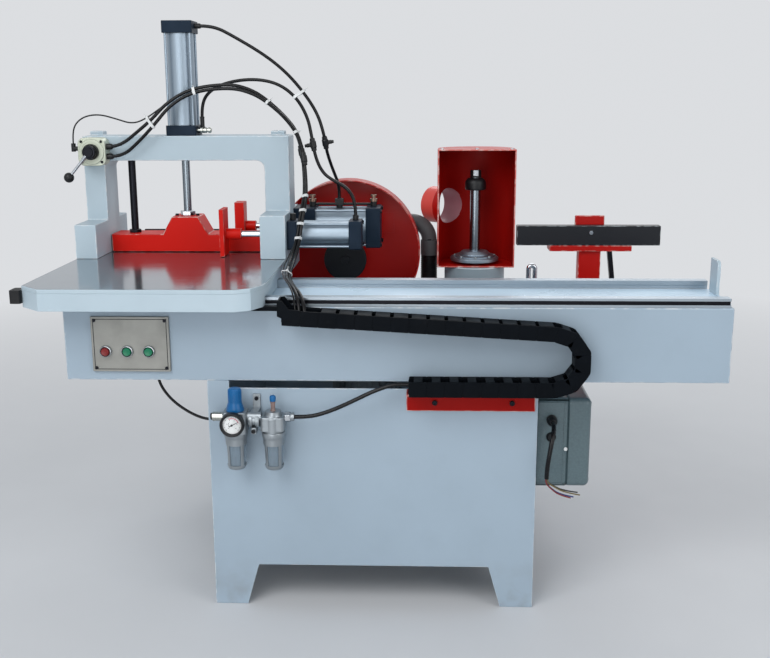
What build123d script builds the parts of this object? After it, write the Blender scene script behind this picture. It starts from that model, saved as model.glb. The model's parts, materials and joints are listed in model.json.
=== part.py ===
from build123d import *
from math import atan2, cos, degrees, pi, radians, sin, tan
import os

os.makedirs("parts", exist_ok=True)

# All sizes are in millimetres.
# X runs along the bed, Y away from the operator, Z up from the floor.
# The origin is the centre of the four floor anchor holes.

# Base cabinet, a folded sheet shell on four legs
CABINET_W = 788
CABINET_D = 860
CABINET_H = 580
SHEET = 5
DECK_T = 12
DECK_REACH = 95
LEG_W = 80
LEG_FLARE = 30
TOE_H = 106
FOOT_PLATE = 74
FOOT_T = 10
ANCHOR_R = 7
CABLE_SLOT_X = 52
CABLE_SLOT_L = 431
CABLE_SLOT_H = 18
CABLE_SLOT_D = 40

# Bed beam with its rails, cover plate and end stop
BED_L = 1570
BED_D = 250
BED_H = 180
BED_WALL = 8
BED_REACH = 337
RAIL_W = 30
RAIL_INSET = 8
FRONT_RAIL_Y = 2
FRONT_RAIL_H = 22
REAR_RAIL_Y = 210
REAR_RAIL_H = 27
COVER_T = 6
STOP_T = 8
STOP_W = 63
STOP_GAP = 23
STOP_H = 84
STOP_ROUND = 14
STOP_EDGE = 2

# Push button panel on the bed
PANEL_X = 67
PANEL_RISE = 23
PANEL_W = 186
PANEL_H = 133
PANEL_T = 8
BUTTON_X = 101
BUTTON_PITCH = 51.5
BUTTON_RISE = 73
BUTTON_R = 11.25
BUTTON_T = 5.5
BUTTON_TRAVEL = 4
BEZEL_R = 14.5
BEZEL_H = 9
BEZEL_WEB = 2
SLEEVE_R = 11
STEM_R = 8
PANEL_SCREW_R = 4
PANEL_SCREW_INSET = 9

# Sliding table and its guide blocks
TABLE_W = 562
TABLE_LEFT = 74
TABLE_FRONT = 98
TABLE_BACK = 220
TABLE_RISE = 58
PLATE_T = 10
SKIRT_H = 41
SKIRT_T = 10
TABLE_CORNER_X = 53
TABLE_CORNER_Y = 49
RAIL_ARCH_H = 26
BLOCK_L = 90
BLOCK_W = 46
BLOCK_INSET = 30
BUMPER_L = 26
BUMPER_W = 40
BUMPER_H = 31

# Clamp gantry on the table
LEFT_POST_W = 58
RIGHT_POST_W = 68
POST_BACK = 185
POST_D = 110
BEAM_RISE = 252
BEAM_H = 66
BEAM_ROUND = 22
BASE_D = 297
BASE_INSET = 4
LEFT_BASE_H = 91
RIGHT_BASE_H = 116
LUG_W = 37
LUG_H = 12

# Clamp cylinder, rod, guide bar and press bar
CLAMP_X = 194
CLAMP_BACK = 132
CLAMP_CAP = 82
CLAMP_BASE_H = 27
CLAMP_BARREL_H = 242
CLAMP_TOP_H = 32
CLAMP_BARREL_R = 36
CLAMP_BORE_R = 34
CLAMP_ROD_R = 11
GUIDE_BAR_X = 43
GUIDE_BAR_R = 10
PRESS_GAP = 2
PRESS_BAR_H = 48
PRESS_BAR_D = 86
PRESS_BAR_END = 3
BOSS_H = 48
BOSS_FOOT_W = 126
BOSS_TOP_W = 73
PISTON_T = 16

# Side pushers and their cylinders
PUSH_RISE = 59
PUSH_ROD_R = 8
PUSH_PLATE_H = 126
FRONT_PUSH_X = 307
FRONT_PUSH_BACK = 235
FRONT_PLATE_T = 12
FRONT_PLATE_W = 70
FRONT_SLEEVE_L = 42
SLEEVE_OUT_R = 15
FRONT_CAP = 76
FRONT_CAP_L = 26
FRONT_BARREL_L = 139
FRONT_END_L = 34
FRONT_BARREL_R = 33.5
FRONT_BORE_R = 31.5
REAR_PUSH_X = 316
REAR_PUSH_BACK = 60
REAR_PLATE_T = 27
REAR_PLATE_W = 50
REAR_SLEEVE_L = 30
REAR_CAP = 112
REAR_CAP_L = 60
REAR_BARREL_L = 142
REAR_END_L = 41
REAR_BARREL_R = 52
REAR_BORE_R = 50
TIE_ROD_R = 3.5
TIE_ROD_INSET = 8
CAP_ROUND = 4

# Hand valve on the left post
VALVE_W = 74
VALVE_D = 45
VALVE_H = 74
VALVE_TOP_DROP = 3
VALVE_PORT_L = 14
HUB_R = 20
HUB_L = 14
ROTOR_R = 18
ROTOR_L = 14
LEVER_L = 88
LEVER_R = 4
LEVER_BALL_R = 13.5
LEVER_ANGLE = 229

# Hose fittings on the table
TOP_PORT_R = 7
TOP_PORT_L = 14
TOP_PORT_SHARE = 0.6
ELBOW_R = 8
ELBOW_L = 16
ELBOW_REACH = 10
ELBOW_NECK_R = 6
ELBOW_NECK_H = 34
VALVE_PORT_R = 8
VALVE_PORT_STEP = 13
VALVE_PORT_SETBACK = 18
EXHAUST_R = 6
EXHAUST_L = 16
EXHAUST_RISE = 8
EXHAUST_H = 22
TEE_BACK = 77
TEE_R = 9
TEE_NECK = 8
TEE_W = 24
TEE_D = 20
TEE_H = 18
SPEED_SETBACK = 11
SPEED_FOOT_R = 9
SPEED_FOOT_H = 14
SPEED_COLLAR_R = 11
SPEED_COLLAR_H = 8
SPEED_STEM_R = 5
SPEED_STEM_H = 6
SPEED_KNOB_R = 8
SPEED_KNOB_H = 6
BRIDGE_R = 3.5
FRONT_PORT_R = 8
FRONT_PORT_H = 12
FRONT_CAP_PORT_H = 18

# Air preparation unit on the cabinet front
FILTER_X = 410.5
OILER_X = 500
AIR_UNIT_Y = -45
AIR_BODY_W = 56
AIR_BODY_DROP = 123
AIR_BODY_H = 63
BOWL_R = 26
BOWL_H = 82
BOWL_WALL = 3
REGULATOR_KNOB_R = 15.5
REGULATOR_KNOB_H = 38
KNOB_FLARE_R = 19.5
KNOB_FLARE_H = 16
DRIP_KNOB_R = 7.5
DRIP_KNOB_H = 14
DRIP_STEM_R = 6
DRIP_STEM_H = 23
BRACKET_W = 18
BRACKET_H = 44
BRACKET_SCREW_RISE = 33
GAUGE_R = 26.5
GAUGE_T = 18
GAUGE_WALL = 3
GAUGE_CUP = 8
GAUGE_DROP = 81
GAUGE_STEM_R = 7
GAUGE_STEM_L = 8
POINTER_L = 17
POINTER_W = 2.5
POINTER_T = 1.5
POINTER_ANGLE = 28
PORT_R = 11
PORT_L = 26
PORT_BORE_R = 6.5
PORT_BORE_L = 14
OUTLET_PORT_R = 10
OUTLET_PORT_L = 22
AIR_PORT_DROP = 75

# Cable chain between the bed shelf and the table
LINK_PITCH = 41.5
LINK_GAP = 0.6
LINK_W = 55
LINK_H = 36
LINK_WALL = 5
CHAIN_Y = -44.5
CHAIN_FOOT_X = 821
CHAIN_DROP = 18
LOWER_LINKS = 8
BEND_LINKS = 5
UPPER_LINKS = 15
UPPER_RISE = 26
OPEN_LINKS = 2
SHELF_X = 813
SHELF_L = 305
SHELF_D = 50
SHELF_T = 5
SHELF_H = 53
SHELF_SCREW_SHARES = (0.22, 0.82)
SHELF_SCREW_DROP = 32
SHELF_SCREW_R = 6.4
CHAIN_BRACKET_T = 8
CHAIN_SLACK = 1

# Terminal box on the cabinet's right wall
TERMINAL_D = 190
TERMINAL_H = 227
TERMINAL_BODY_L = 82
TERMINAL_LID_L = 56
TERMINAL_Y = 60
TERMINAL_DROP = 285
TERMINAL_WALL = 4
TERMINAL_ROUND = 14
GLAND_R = 13
GLAND_L = 26
GLAND_DROP = 111
GROMMET_R = 12
GROMMET_DROP = 155
GROMMET_L = 7

# Cutter spindle, its drive and hood
SPINDLE_INSET = 119
SPINDLE_BACK = 135
SHAFT_R = 20
NOSE_R = 15.5
NOSE_RISE = 445
HOOD_RISE = 165
HOOD_H = 343
HOOD_R = 113
HOOD_FRONT = 72
HOOD_T = 4
PEDESTAL_R = 89.5
PEDESTAL_FLANGE_R = 105
PEDESTAL_FLANGE_T = 15
BEARING_R = 42
BEARING_H = 22
BEARING_EDGE = 14
CUTTER_FLANGE_R = 72
CUTTER_FLANGE_H = 12
CUTTER_FLANGE_RISE = 177
HUB_FLANGE_R = 46
HUB_FLANGE_H = 16
NUT_R = 31
NUT_H = 37
NUT_RISE = 386
DUST_PORT_R = 55
DUST_PORT_WALL = 3
DUST_PORT_L = 72
DUST_COLLAR = 6
DUST_COLLAR_L = 6
DUST_PORT_RISE = 332
DUST_PORT_ANGLE = 137
SPINDLE_PULLEY_R = 40
MOTOR_PULLEY_R = 70
PULLEY_H = 44
PULLEY_DROP = 30
BELT_W = 32
BELT_T = 6
BELT_SPAN = 326
MOTOR_R = 100
MOTOR_H = 290
MOTOR_SHAFT_R = 14
MOTOR_PLATE = 240
MOTOR_PLATE_T = 12
HANGER_R = 12

# Trimming saw with its guard and dust duct
SAW_X = 621
SAW_RISE = 186
GUARD_X = 630
GUARD_BACK = 195
GUARD_R = 213
GUARD_D = 82
GUARD_T = 4
GUARD_SINK = 6
SAW_FLANGE_R = 63
SAW_FLANGE_T = 14
SAW_FLANGE_BACK = 196
SAW_SHAFT_R = 15
SAW_BOLT_R = 12
SAW_BOLT_T = 9
SAW_MOTOR_R = 75
SAW_MOTOR_L = 165
SAW_FOOT_W = 130
SAW_FOOT_L = 120
DUCT_REACH = 136
DUCT_BACK = 80
DUCT_R = 23
DUCT_WALL = 3
DUCT_RISE = 286
DUCT_BEND = 55
OUTLET_L = 60

# Alignment unit at the right, and the metal conduit beside it
ALIGN_REACH = 216
ALIGN_BAR_L = 417
ALIGN_BAR_OFFSET = 7
ALIGN_BAR_H = 58
ALIGN_BAR_T = 32
ALIGN_BACK = 202
ALIGN_PLATE_L = 240
ALIGN_PLATE_D = 60
ALIGN_PLATE_T = 17
ALIGN_PLATE_RISE = 213
ALIGN_POST_W = 65
ALIGN_POST_D = 40
ALIGN_LUG_W = 86
ALIGN_LUG_T = 12
ALIGN_LUG_H = 84
ALIGN_SCREW_R = 6
ALIGN_SCREW_T = 4
ALIGN_SCREW_RISE = 38
ALIGN_ARM_W = 150
ALIGN_ARM_T = 12
ALIGN_ARM_RISE = 60
ALIGN_ARM_FLANGE = 60
BRACE_W = 14
BRACE_T = 20
BRACE_TOP = 60
BRACE_FOOT = 78
CONDUIT_REACH = 50
CONDUIT_BACK = 170
CONDUIT_R = 7
CONDUIT_W = 19
CONDUIT_H = 172

# Clearances
RUN = 0.3
FIT = 0.08

# Hoses and cables
AIR_HOSE_R = 4.5
THIN_HOSE_R = 2
FEED_HOSE_R = 5
CONTROL_CABLE_R = 3.5
SUPPLY_CABLE_R = 5.5
CORE_R = 1.6
CORE_LEAD = 11
VALVE_LEAD = 32
PORT_LEAD = 37
THIN_LEAD = 28
FEED_LEAD = 28
FEED_RISE = 6
CONTROL_EXIT_X = 194
CONTROL_EXIT_Y = 85
CONTROL_HOLE_Y = 90
CONTROL_HOLE_DROP = 128
ARC_SHARE = 0.45

# Places shared by the pieces
front = -CABINET_D / 2
back = CABINET_D / 2
left_wall = -CABINET_W / 2
right_wall = CABINET_W / 2
deck_under = CABINET_H - DECK_T
bed_left = left_wall - BED_REACH
bed_right = bed_left + BED_L
bed_back = front + BED_D
bed_top = CABINET_H + BED_H
cover_top = bed_top + COVER_T
table_left = bed_left - TABLE_LEFT
table_right = table_left + TABLE_W
table_back = back - TABLE_BACK
table_depth = table_back - front
work_z = bed_top + TABLE_RISE
plate_under = work_z - PLATE_T
skirt_under = plate_under - SKIRT_H
beam_z = work_z + BEAM_RISE
beam_top = beam_z + BEAM_H
push_z = work_z + PUSH_RISE
button_z = CABINET_H + BUTTON_RISE
panel_z = (CABINET_H + PANEL_RISE, CABINET_H + PANEL_RISE + PANEL_H)
air_port_z = CABINET_H - AIR_PORT_DROP
shelf_top = CABINET_H - CHAIN_DROP
spindle_x = right_wall - SPINDLE_INSET
spindle_y = back - SPINDLE_BACK
hood_z = CABINET_H + HOOD_RISE
saw_z = CABINET_H + SAW_RISE
duct_z = CABINET_H + DUCT_RISE


def on_front(x, y, rise):
    """A point measured from the bed's left end, the cabinet's front and the deck."""
    return (bed_left + x, front + y, CABINET_H + rise)


def on_table(x, share, rise):
    """A point from the bed's left end, a share of the table's depth and its top."""
    return (bed_left + x, front + share * table_depth, work_z + rise)


def block(x, y, z, mode=Mode.ADD):
    """A box between two limits on each axis, in the open part."""
    with Locations(((x[0] + x[1]) / 2, (y[0] + y[1]) / 2, (z[0] + z[1]) / 2)):
        Box(x[1] - x[0], y[1] - y[0], z[1] - z[0], mode=mode)


AXIS_TURN = {"X": (0, 90, 0), "Y": (-90, 0, 0), "Z": (0, 0, 0)}


def bar(start, axis, radius, length, mode=Mode.ADD):
    """A round bar from a start point towards + on one axis, in the open part."""
    seat = (Align.CENTER, Align.CENTER, Align.MIN)
    with Locations(start):
        Cylinder(radius, length, rotation=AXIS_TURN[axis], align=seat, mode=mode)


def facing(y):
    """The upright plane at depth y that faces the operator, with X to the right and Z up."""
    return Plane(origin=(0, y, 0), x_dir=(1, 0, 0), z_dir=(0, -1, 0))


# Base cabinet
anchor_x = CABINET_W - 2 * SHEET - FOOT_PLATE
anchor_y = CABINET_D - 2 * SHEET - FOOT_PLATE
control_hole = on_front(BED_REACH, CONTROL_HOLE_Y, -CONTROL_HOLE_DROP)
terminal_z = (CABINET_H - TERMINAL_DROP, CABINET_H - TERMINAL_DROP + TERMINAL_H)
terminal_hole_z = (terminal_z[0] + terminal_z[1]) / 2
with BuildPart() as base_cabinet:
    block((left_wall, right_wall), (front, back), (0, deck_under))
    block(
        (left_wall + SHEET, right_wall - SHEET),
        (front + SHEET, back - SHEET),
        (0, deck_under),
        Mode.SUBTRACT,
    )
    for plane, span in ((Plane.XZ, CABINET_W), (Plane.YZ, CABINET_D)):
        with BuildSketch(plane):
            with BuildLine():
                Polyline(
                    (-span / 2 + LEG_W, 0),
                    (-span / 2 + LEG_W + LEG_FLARE, TOE_H),
                    (span / 2 - LEG_W - LEG_FLARE, TOE_H),
                    (span / 2 - LEG_W, 0),
                    close=True,
                )
            make_face()
        extrude(amount=CABINET_W + CABINET_D, both=True, mode=Mode.SUBTRACT)
    with GridLocations(anchor_x, anchor_y, 2, 2):
        Box(FOOT_PLATE, FOOT_PLATE, FOOT_T, align=(Align.CENTER, Align.CENTER, Align.MIN))
    block((left_wall, right_wall), (front, back), (deck_under, CABINET_H))
    block((right_wall, right_wall + DECK_REACH), (bed_back, back), (deck_under, CABINET_H))
    with GridLocations(anchor_x, anchor_y, 2, 2):
        Cylinder(ANCHOR_R, 4 * FOOT_T, mode=Mode.SUBTRACT)
    block(
        (left_wall + CABLE_SLOT_X, left_wall + CABLE_SLOT_X + CABLE_SLOT_L),
        (front, front + CABLE_SLOT_D),
        (CABINET_H - CABLE_SLOT_H, CABINET_H),
        Mode.SUBTRACT,
    )
    bar((spindle_x, spindle_y, deck_under), "Z", PEDESTAL_R - BEARING_EDGE, DECK_T, Mode.SUBTRACT)
    bar(control_hole, "X", CONTROL_CABLE_R + RUN, SHEET, Mode.SUBTRACT)
    bar(
        (right_wall - SHEET, front + TERMINAL_Y + TERMINAL_D / 2, terminal_hole_z),
        "X",
        GLAND_R,
        SHEET,
        Mode.SUBTRACT,
    )
base_cabinet.part.label = "base_cabinet"
export_step(base_cabinet.part, "parts/base_cabinet.step")

# Bed beam, a closed box with holes for the buttons and the control cable
button_xs = [bed_left + BUTTON_X + BUTTON_PITCH * i for i in range(3)]
cable_exit = on_front(CONTROL_EXIT_X, CONTROL_EXIT_Y, 0)
with BuildPart() as bed_beam:
    block((bed_left, bed_right), (front, bed_back), (CABINET_H, bed_top))
    block(
        (bed_left + BED_WALL, bed_right - BED_WALL),
        (front + BED_WALL, bed_back - BED_WALL),
        (CABINET_H + BED_WALL, bed_top - BED_WALL),
        Mode.SUBTRACT,
    )
    for x in button_xs:
        bar((x, front, button_z), "Y", SLEEVE_R, BED_WALL, Mode.SUBTRACT)
    bar(cable_exit, "Z", CONTROL_CABLE_R + RUN, BED_WALL, Mode.SUBTRACT)
bed_beam.part.label = "bed_beam"
export_step(bed_beam.part, "parts/bed_beam.step")

# Two guide rails on the bed
rail_x = (bed_left + RAIL_INSET, bed_right - RAIL_INSET)
front_rail_y = (front + FRONT_RAIL_Y, front + FRONT_RAIL_Y + RAIL_W)
rear_rail_y = (front + REAR_RAIL_Y, front + REAR_RAIL_Y + RAIL_W)
front_rail_top = bed_top + FRONT_RAIL_H
rear_rail_top = bed_top + REAR_RAIL_H
with BuildPart() as guide_rails:
    block(rail_x, front_rail_y, (bed_top, front_rail_top))
    block(rail_x, rear_rail_y, (bed_top, rear_rail_top))
guide_rails.part.label = "guide_rails"
export_step(guide_rails.part, "parts/guide_rails.step")

# Cover plate between the rails
with BuildPart() as bed_cover:
    block((bed_left, bed_right), (front_rail_y[1], rear_rail_y[0]), (bed_top, cover_top))
bed_cover.part.label = "bed_cover"
export_step(bed_cover.part, "parts/bed_cover.step")

# End stop, an upright plate on the cover
stop_right = bed_right - STOP_EDGE
stop_y = (rear_rail_y[0] - STOP_GAP - STOP_W, rear_rail_y[0] - STOP_GAP)
with BuildPart() as end_stop:
    block((stop_right - STOP_T, stop_right), stop_y, (cover_top, cover_top + STOP_H))
    stop_corner = end_stop.edges().filter_by(Axis.X).group_by(Axis.Z)[-1].sort_by(Axis.Y)[0]
    fillet(stop_corner, STOP_ROUND)
end_stop.part.label = "end_stop"
export_step(end_stop.part, "parts/end_stop.step")

# Button panel
panel_x = (bed_left + PANEL_X, bed_left + PANEL_X + PANEL_W)
panel_front = front - PANEL_T
with BuildPart() as button_panel:
    block(panel_x, (panel_front, front), panel_z)
    fillet(button_panel.edges().filter_by(Axis.Y), PANEL_T / 2)
    for x in button_xs:
        bar((x, panel_front, button_z), "Y", SLEEVE_R, PANEL_T, Mode.SUBTRACT)
button_panel.part.label = "button_panel"
export_step(button_panel.part, "parts/button_panel.step")

# Button bezels, each a ring outside and a sleeve through the panel
sleeve_l = PANEL_T + 2 * BED_WALL
with BuildPart() as button_bezels:
    for x in button_xs:
        bar((x, panel_front - BEZEL_H, button_z), "Y", BEZEL_R, BEZEL_H)
        bar((x, panel_front, button_z), "Y", SLEEVE_R, sleeve_l)
        bar((x, panel_front - BEZEL_H, button_z), "Y", BUTTON_R + RUN, BEZEL_H - BEZEL_WEB, Mode.SUBTRACT)
        bar((x, panel_front - BEZEL_H, button_z), "Y", STEM_R + FIT, BEZEL_H + sleeve_l, Mode.SUBTRACT)
button_bezels.part.label = "button_bezels"
export_step(button_bezels.part, "parts/button_bezels.step")

# Push buttons, a cap and a stem each
button_back = panel_front - BEZEL_WEB - BUTTON_TRAVEL - RUN


def push_button(x):
    """One button: a domed cap in its bezel, with the stem in the sleeve behind it."""
    with BuildPart() as button:
        bar((x, button_back - BUTTON_T, button_z), "Y", BUTTON_R, BUTTON_T)
        fillet(button.edges().sort_by(Axis.Y)[0], BUTTON_T / 4)
        bar((x, button_back, button_z), "Y", STEM_R, sleeve_l)
    return button


stop_button = push_button(button_xs[0])
stop_button.part.label = "stop_button"
export_step(stop_button.part, "parts/stop_button.step")

spindle_button = push_button(button_xs[1])
spindle_button.part.label = "spindle_button"
export_step(spindle_button.part, "parts/spindle_button.step")

saw_button = push_button(button_xs[2])
saw_button.part.label = "saw_button"
export_step(saw_button.part, "parts/saw_button.step")

# Table top, a steel plate with cut and faceted front corners
table_front = front - TABLE_FRONT
table_outline = [
    (table_left, table_back),
    (table_left, table_front + TABLE_CORNER_Y),
    (table_left + TABLE_CORNER_X, table_front),
    (table_right - 1.15 * TABLE_CORNER_X, table_front),
    (table_right - 0.5 * TABLE_CORNER_X, table_front + 0.4 * TABLE_CORNER_Y),
    (table_right - 0.12 * TABLE_CORNER_X, table_front + 1.2 * TABLE_CORNER_Y),
    (table_right, table_front + 2.1 * TABLE_CORNER_Y),
    (table_right, table_back),
]
with BuildPart() as table_top:
    with BuildSketch(Plane.XY.offset(plate_under)):
        with BuildLine():
            Polyline(*table_outline, close=True)
        make_face()
    extrude(amount=PLATE_T)
    chamfer(table_top.faces().sort_by(Axis.Z)[-1].edges(), PLATE_T / 10)
table_top.part.label = "table_top"
export_step(table_top.part, "parts/table_top.step")

# Table skirt, arched over the rails at both ends
arch_y = (front - BLOCK_W / 2, bed_back + BLOCK_W / 2)
with BuildPart() as table_skirt:
    with BuildSketch(Plane.XY.offset(skirt_under)):
        with BuildLine():
            Polyline(*table_outline, close=True)
        make_face()
        offset(amount=-SKIRT_T, kind=Kind.INTERSECTION, mode=Mode.SUBTRACT)
    extrude(amount=SKIRT_H)
    block(
        (table_left, table_right),
        arch_y,
        (skirt_under, skirt_under + RAIL_ARCH_H),
        Mode.SUBTRACT,
    )
table_skirt.part.label = "table_skirt"
export_step(table_skirt.part, "parts/table_skirt.step")

# Guide blocks under the table, two on each rail
block_under = cover_top + COVER_T
with BuildPart() as guide_blocks:
    for rail_y, rail_top in ((front_rail_y, front_rail_top), (rear_rail_y, rear_rail_top)):
        middle = (rail_y[0] + rail_y[1]) / 2
        for x in (table_left + SKIRT_T + BLOCK_INSET, table_right - SKIRT_T - BLOCK_INSET - BLOCK_L):
            span = (x, x + BLOCK_L)
            block(span, (middle - BLOCK_W / 2, middle + BLOCK_W / 2), (block_under, plate_under))
            slot_y = (rail_y[0] - RUN, rail_y[1] + RUN)
            block(span, slot_y, (block_under, rail_top + RUN), Mode.SUBTRACT)
guide_blocks.part.label = "guide_blocks"
export_step(guide_blocks.part, "parts/guide_blocks.step")

# Bumper at the table's left side and the chain bracket under its right corner
chain_y = front + CHAIN_Y
chain_foot_x = bed_left + CHAIN_FOOT_X
bend_x = chain_foot_x + LOWER_LINKS * LINK_PITCH
bend_r = BEND_LINKS * LINK_PITCH / radians(180)
lower_mid_z = shelf_top + LINK_H / 2
upper_mid_z = lower_mid_z + 2 * bend_r
upper_run_l = UPPER_LINKS * LINK_PITCH
upper_tilt = atan2(UPPER_RISE, upper_run_l)
chain_end_x = bend_x - upper_run_l * cos(upper_tilt)
chain_end_top = upper_mid_z + UPPER_RISE + LINK_H / 2
with BuildPart() as table_brackets:
    block(
        (table_left - BUMPER_L, table_left),
        (arch_y[0] - BUMPER_W, arch_y[0]),
        (plate_under - BUMPER_H, plate_under),
    )
    fillet(table_brackets.edges().filter_by(Axis.Z).group_by(Axis.X)[0], BUMPER_L / 5)
    block(
        (table_right - 1.15 * TABLE_CORNER_X, chain_end_x + 0.2 * LINK_PITCH),
        (chain_y + LINK_W / 2 - CHAIN_BRACKET_T - LINK_WALL, chain_y + LINK_W / 2),
        (chain_end_top + RUN, skirt_under),
    )
    block(
        (table_right - 1.15 * TABLE_CORNER_X, chain_end_x - CHAIN_BRACKET_T / 2),
        (chain_y - LINK_W / 2, chain_y + LINK_W / 2),
        (chain_end_top + RUN, skirt_under),
    )
    block(
        (chain_end_x - 1.5 * CHAIN_BRACKET_T, chain_end_x - CHAIN_BRACKET_T / 2),
        (chain_y - LINK_W / 2, chain_y + LINK_W / 2),
        (chain_end_top - LINK_H, skirt_under),
    )
table_brackets.part.label = "table_brackets"
export_step(table_brackets.part, "parts/table_brackets.step")

# Clamp gantry: two base blocks, two posts and a beam in one casting
left_post_x = (table_left, table_left + LEFT_POST_W)
right_post_x = (table_right - RIGHT_POST_W, table_right)
post_y = (table_back - POST_BACK, table_back - POST_BACK + POST_D)
clamp_x = bed_left + CLAMP_X
clamp_y = table_back - CLAMP_BACK
guide_bar_x = bed_left + GUIDE_BAR_X
front_push_y = table_back - FRONT_PUSH_BACK
rear_push_y = table_back - REAR_PUSH_BACK
with BuildPart() as clamp_gantry:
    block(left_post_x, post_y, (work_z, beam_top))
    block(right_post_x, post_y, (work_z, beam_top))
    block((left_post_x[0], right_post_x[1]), post_y, (beam_z, beam_top))
    inner = clamp_gantry.edges().filter_by(Axis.Y).filter_by_position(Axis.Z, beam_z - RUN, beam_z + RUN)
    fillet(inner, BEAM_ROUND)
    base_y = (table_back - BASE_INSET - BASE_D, table_back - BASE_INSET)
    block(left_post_x, base_y, (work_z, work_z + LEFT_BASE_H))
    block(right_post_x, base_y, (work_z, work_z + RIGHT_BASE_H))
    for post_x in (left_post_x, right_post_x):
        middle = (post_x[0] + post_x[1]) / 2
        lug_y = (clamp_y - LUG_W / 2, clamp_y + LUG_W / 2)
        block((middle - LUG_W / 2, middle + LUG_W / 2), lug_y, (beam_top, beam_top + LUG_H))
    bar((clamp_x, clamp_y, beam_z), "Z", CLAMP_ROD_R + FIT, BEAM_H, Mode.SUBTRACT)
    bar((guide_bar_x, clamp_y, beam_z), "Z", GUIDE_BAR_R + FIT, BEAM_H, Mode.SUBTRACT)
    for y in (front_push_y, rear_push_y):
        bar((right_post_x[0], y, push_z), "X", PUSH_ROD_R + FIT, RIGHT_POST_W, Mode.SUBTRACT)
clamp_gantry.part.label = "clamp_gantry"
export_step(clamp_gantry.part, "parts/clamp_gantry.step")

# End caps of the three air cylinders
clamp_barrel_z = beam_top + CLAMP_BASE_H
clamp_top_z = clamp_barrel_z + CLAMP_BARREL_H
front_barrel_x = table_right + FRONT_CAP_L
front_end_x = front_barrel_x + FRONT_BARREL_L
rear_barrel_x = table_right + REAR_CAP_L
rear_end_x = rear_barrel_x + REAR_BARREL_L


def spread(middle, width):
    """The two limits of a width about its middle."""
    return (middle - width / 2, middle + width / 2)


with BuildPart() as cylinder_caps:
    clamp_caps = (spread(clamp_x, CLAMP_CAP), spread(clamp_y, CLAMP_CAP))
    block(*clamp_caps, (beam_top, clamp_barrel_z))
    block(*clamp_caps, (clamp_top_z, clamp_top_z + CLAMP_TOP_H))
    front_caps = (spread(front_push_y, FRONT_CAP), spread(push_z, FRONT_CAP))
    block((table_right, front_barrel_x), *front_caps)
    block((front_end_x, front_end_x + FRONT_END_L), *front_caps)
    rear_caps = (spread(rear_push_y, REAR_CAP), spread(push_z, REAR_CAP))
    block((table_right, rear_barrel_x), *rear_caps)
    block((rear_end_x, rear_end_x + REAR_END_L), *rear_caps)
    upright = cylinder_caps.edges().filter_by(Axis.Z)
    lying = cylinder_caps.edges().filter_by(Axis.X)
    fillet(upright.filter_by_position(Axis.Z, beam_top, clamp_top_z + CLAMP_TOP_H), CAP_ROUND)
    fillet(lying.filter_by_position(Axis.Z, work_z, beam_z), CAP_ROUND)
    bar((clamp_x, clamp_y, beam_top), "Z", CLAMP_ROD_R + FIT, CLAMP_BASE_H, Mode.SUBTRACT)
    bar((table_right, front_push_y, push_z), "X", PUSH_ROD_R + FIT, FRONT_CAP_L, Mode.SUBTRACT)
    bar((table_right, rear_push_y, push_z), "X", PUSH_ROD_R + FIT, REAR_CAP_L, Mode.SUBTRACT)
cylinder_caps.part.label = "cylinder_caps"
export_step(cylinder_caps.part, "parts/cylinder_caps.step")

# Barrels and tie rods between the caps
with BuildPart() as cylinder_barrels:
    bar((clamp_x, clamp_y, clamp_barrel_z), "Z", CLAMP_BARREL_R, CLAMP_BARREL_H)
    bar((clamp_x, clamp_y, clamp_barrel_z), "Z", CLAMP_BORE_R, CLAMP_BARREL_H, Mode.SUBTRACT)
    bar((front_barrel_x, front_push_y, push_z), "X", FRONT_BARREL_R, FRONT_BARREL_L)
    bar((front_barrel_x, front_push_y, push_z), "X", FRONT_BORE_R, FRONT_BARREL_L, Mode.SUBTRACT)
    bar((rear_barrel_x, rear_push_y, push_z), "X", REAR_BARREL_R, REAR_BARREL_L)
    bar((rear_barrel_x, rear_push_y, push_z), "X", REAR_BORE_R, REAR_BARREL_L, Mode.SUBTRACT)
    for side in (-1, 1):
        for rank in (-1, 1):
            reach = CLAMP_CAP / 2 - TIE_ROD_INSET
            bar(
                (clamp_x + side * reach, clamp_y + rank * reach, clamp_barrel_z),
                "Z",
                TIE_ROD_R,
                CLAMP_BARREL_H,
            )
            reach = FRONT_CAP / 2 - TIE_ROD_INSET
            bar(
                (front_barrel_x, front_push_y + side * reach, push_z + rank * reach),
                "X",
                TIE_ROD_R,
                FRONT_BARREL_L,
            )
            reach = REAR_CAP / 2 - TIE_ROD_INSET
            bar(
                (rear_barrel_x, rear_push_y + side * reach, push_z + rank * reach),
                "X",
                TIE_ROD_R,
                REAR_BARREL_L,
            )
cylinder_barrels.part.label = "cylinder_barrels"
export_step(cylinder_barrels.part, "parts/cylinder_barrels.step")

# Press bar with its boss
press_x = (left_post_x[1] + PRESS_BAR_END, right_post_x[0] - PRESS_BAR_END)
press_y = spread(clamp_y, PRESS_BAR_D)
press_z = (work_z + PRESS_GAP, work_z + PRESS_GAP + PRESS_BAR_H)
boss_top = press_z[1] + BOSS_H
with BuildPart() as press_bar:
    block(press_x, press_y, press_z)
    with BuildSketch(facing(press_y[1])):
        with BuildLine():
            Polyline(
                (clamp_x - BOSS_FOOT_W / 2, press_z[1]),
                (clamp_x - BOSS_TOP_W / 2, boss_top),
                (clamp_x + BOSS_TOP_W / 2, boss_top),
                (clamp_x + BOSS_FOOT_W / 2, press_z[1]),
                close=True,
            )
        make_face()
    extrude(amount=PRESS_BAR_D)
press_bar.part.label = "press_bar"
export_step(press_bar.part, "parts/press_bar.step")

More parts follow.
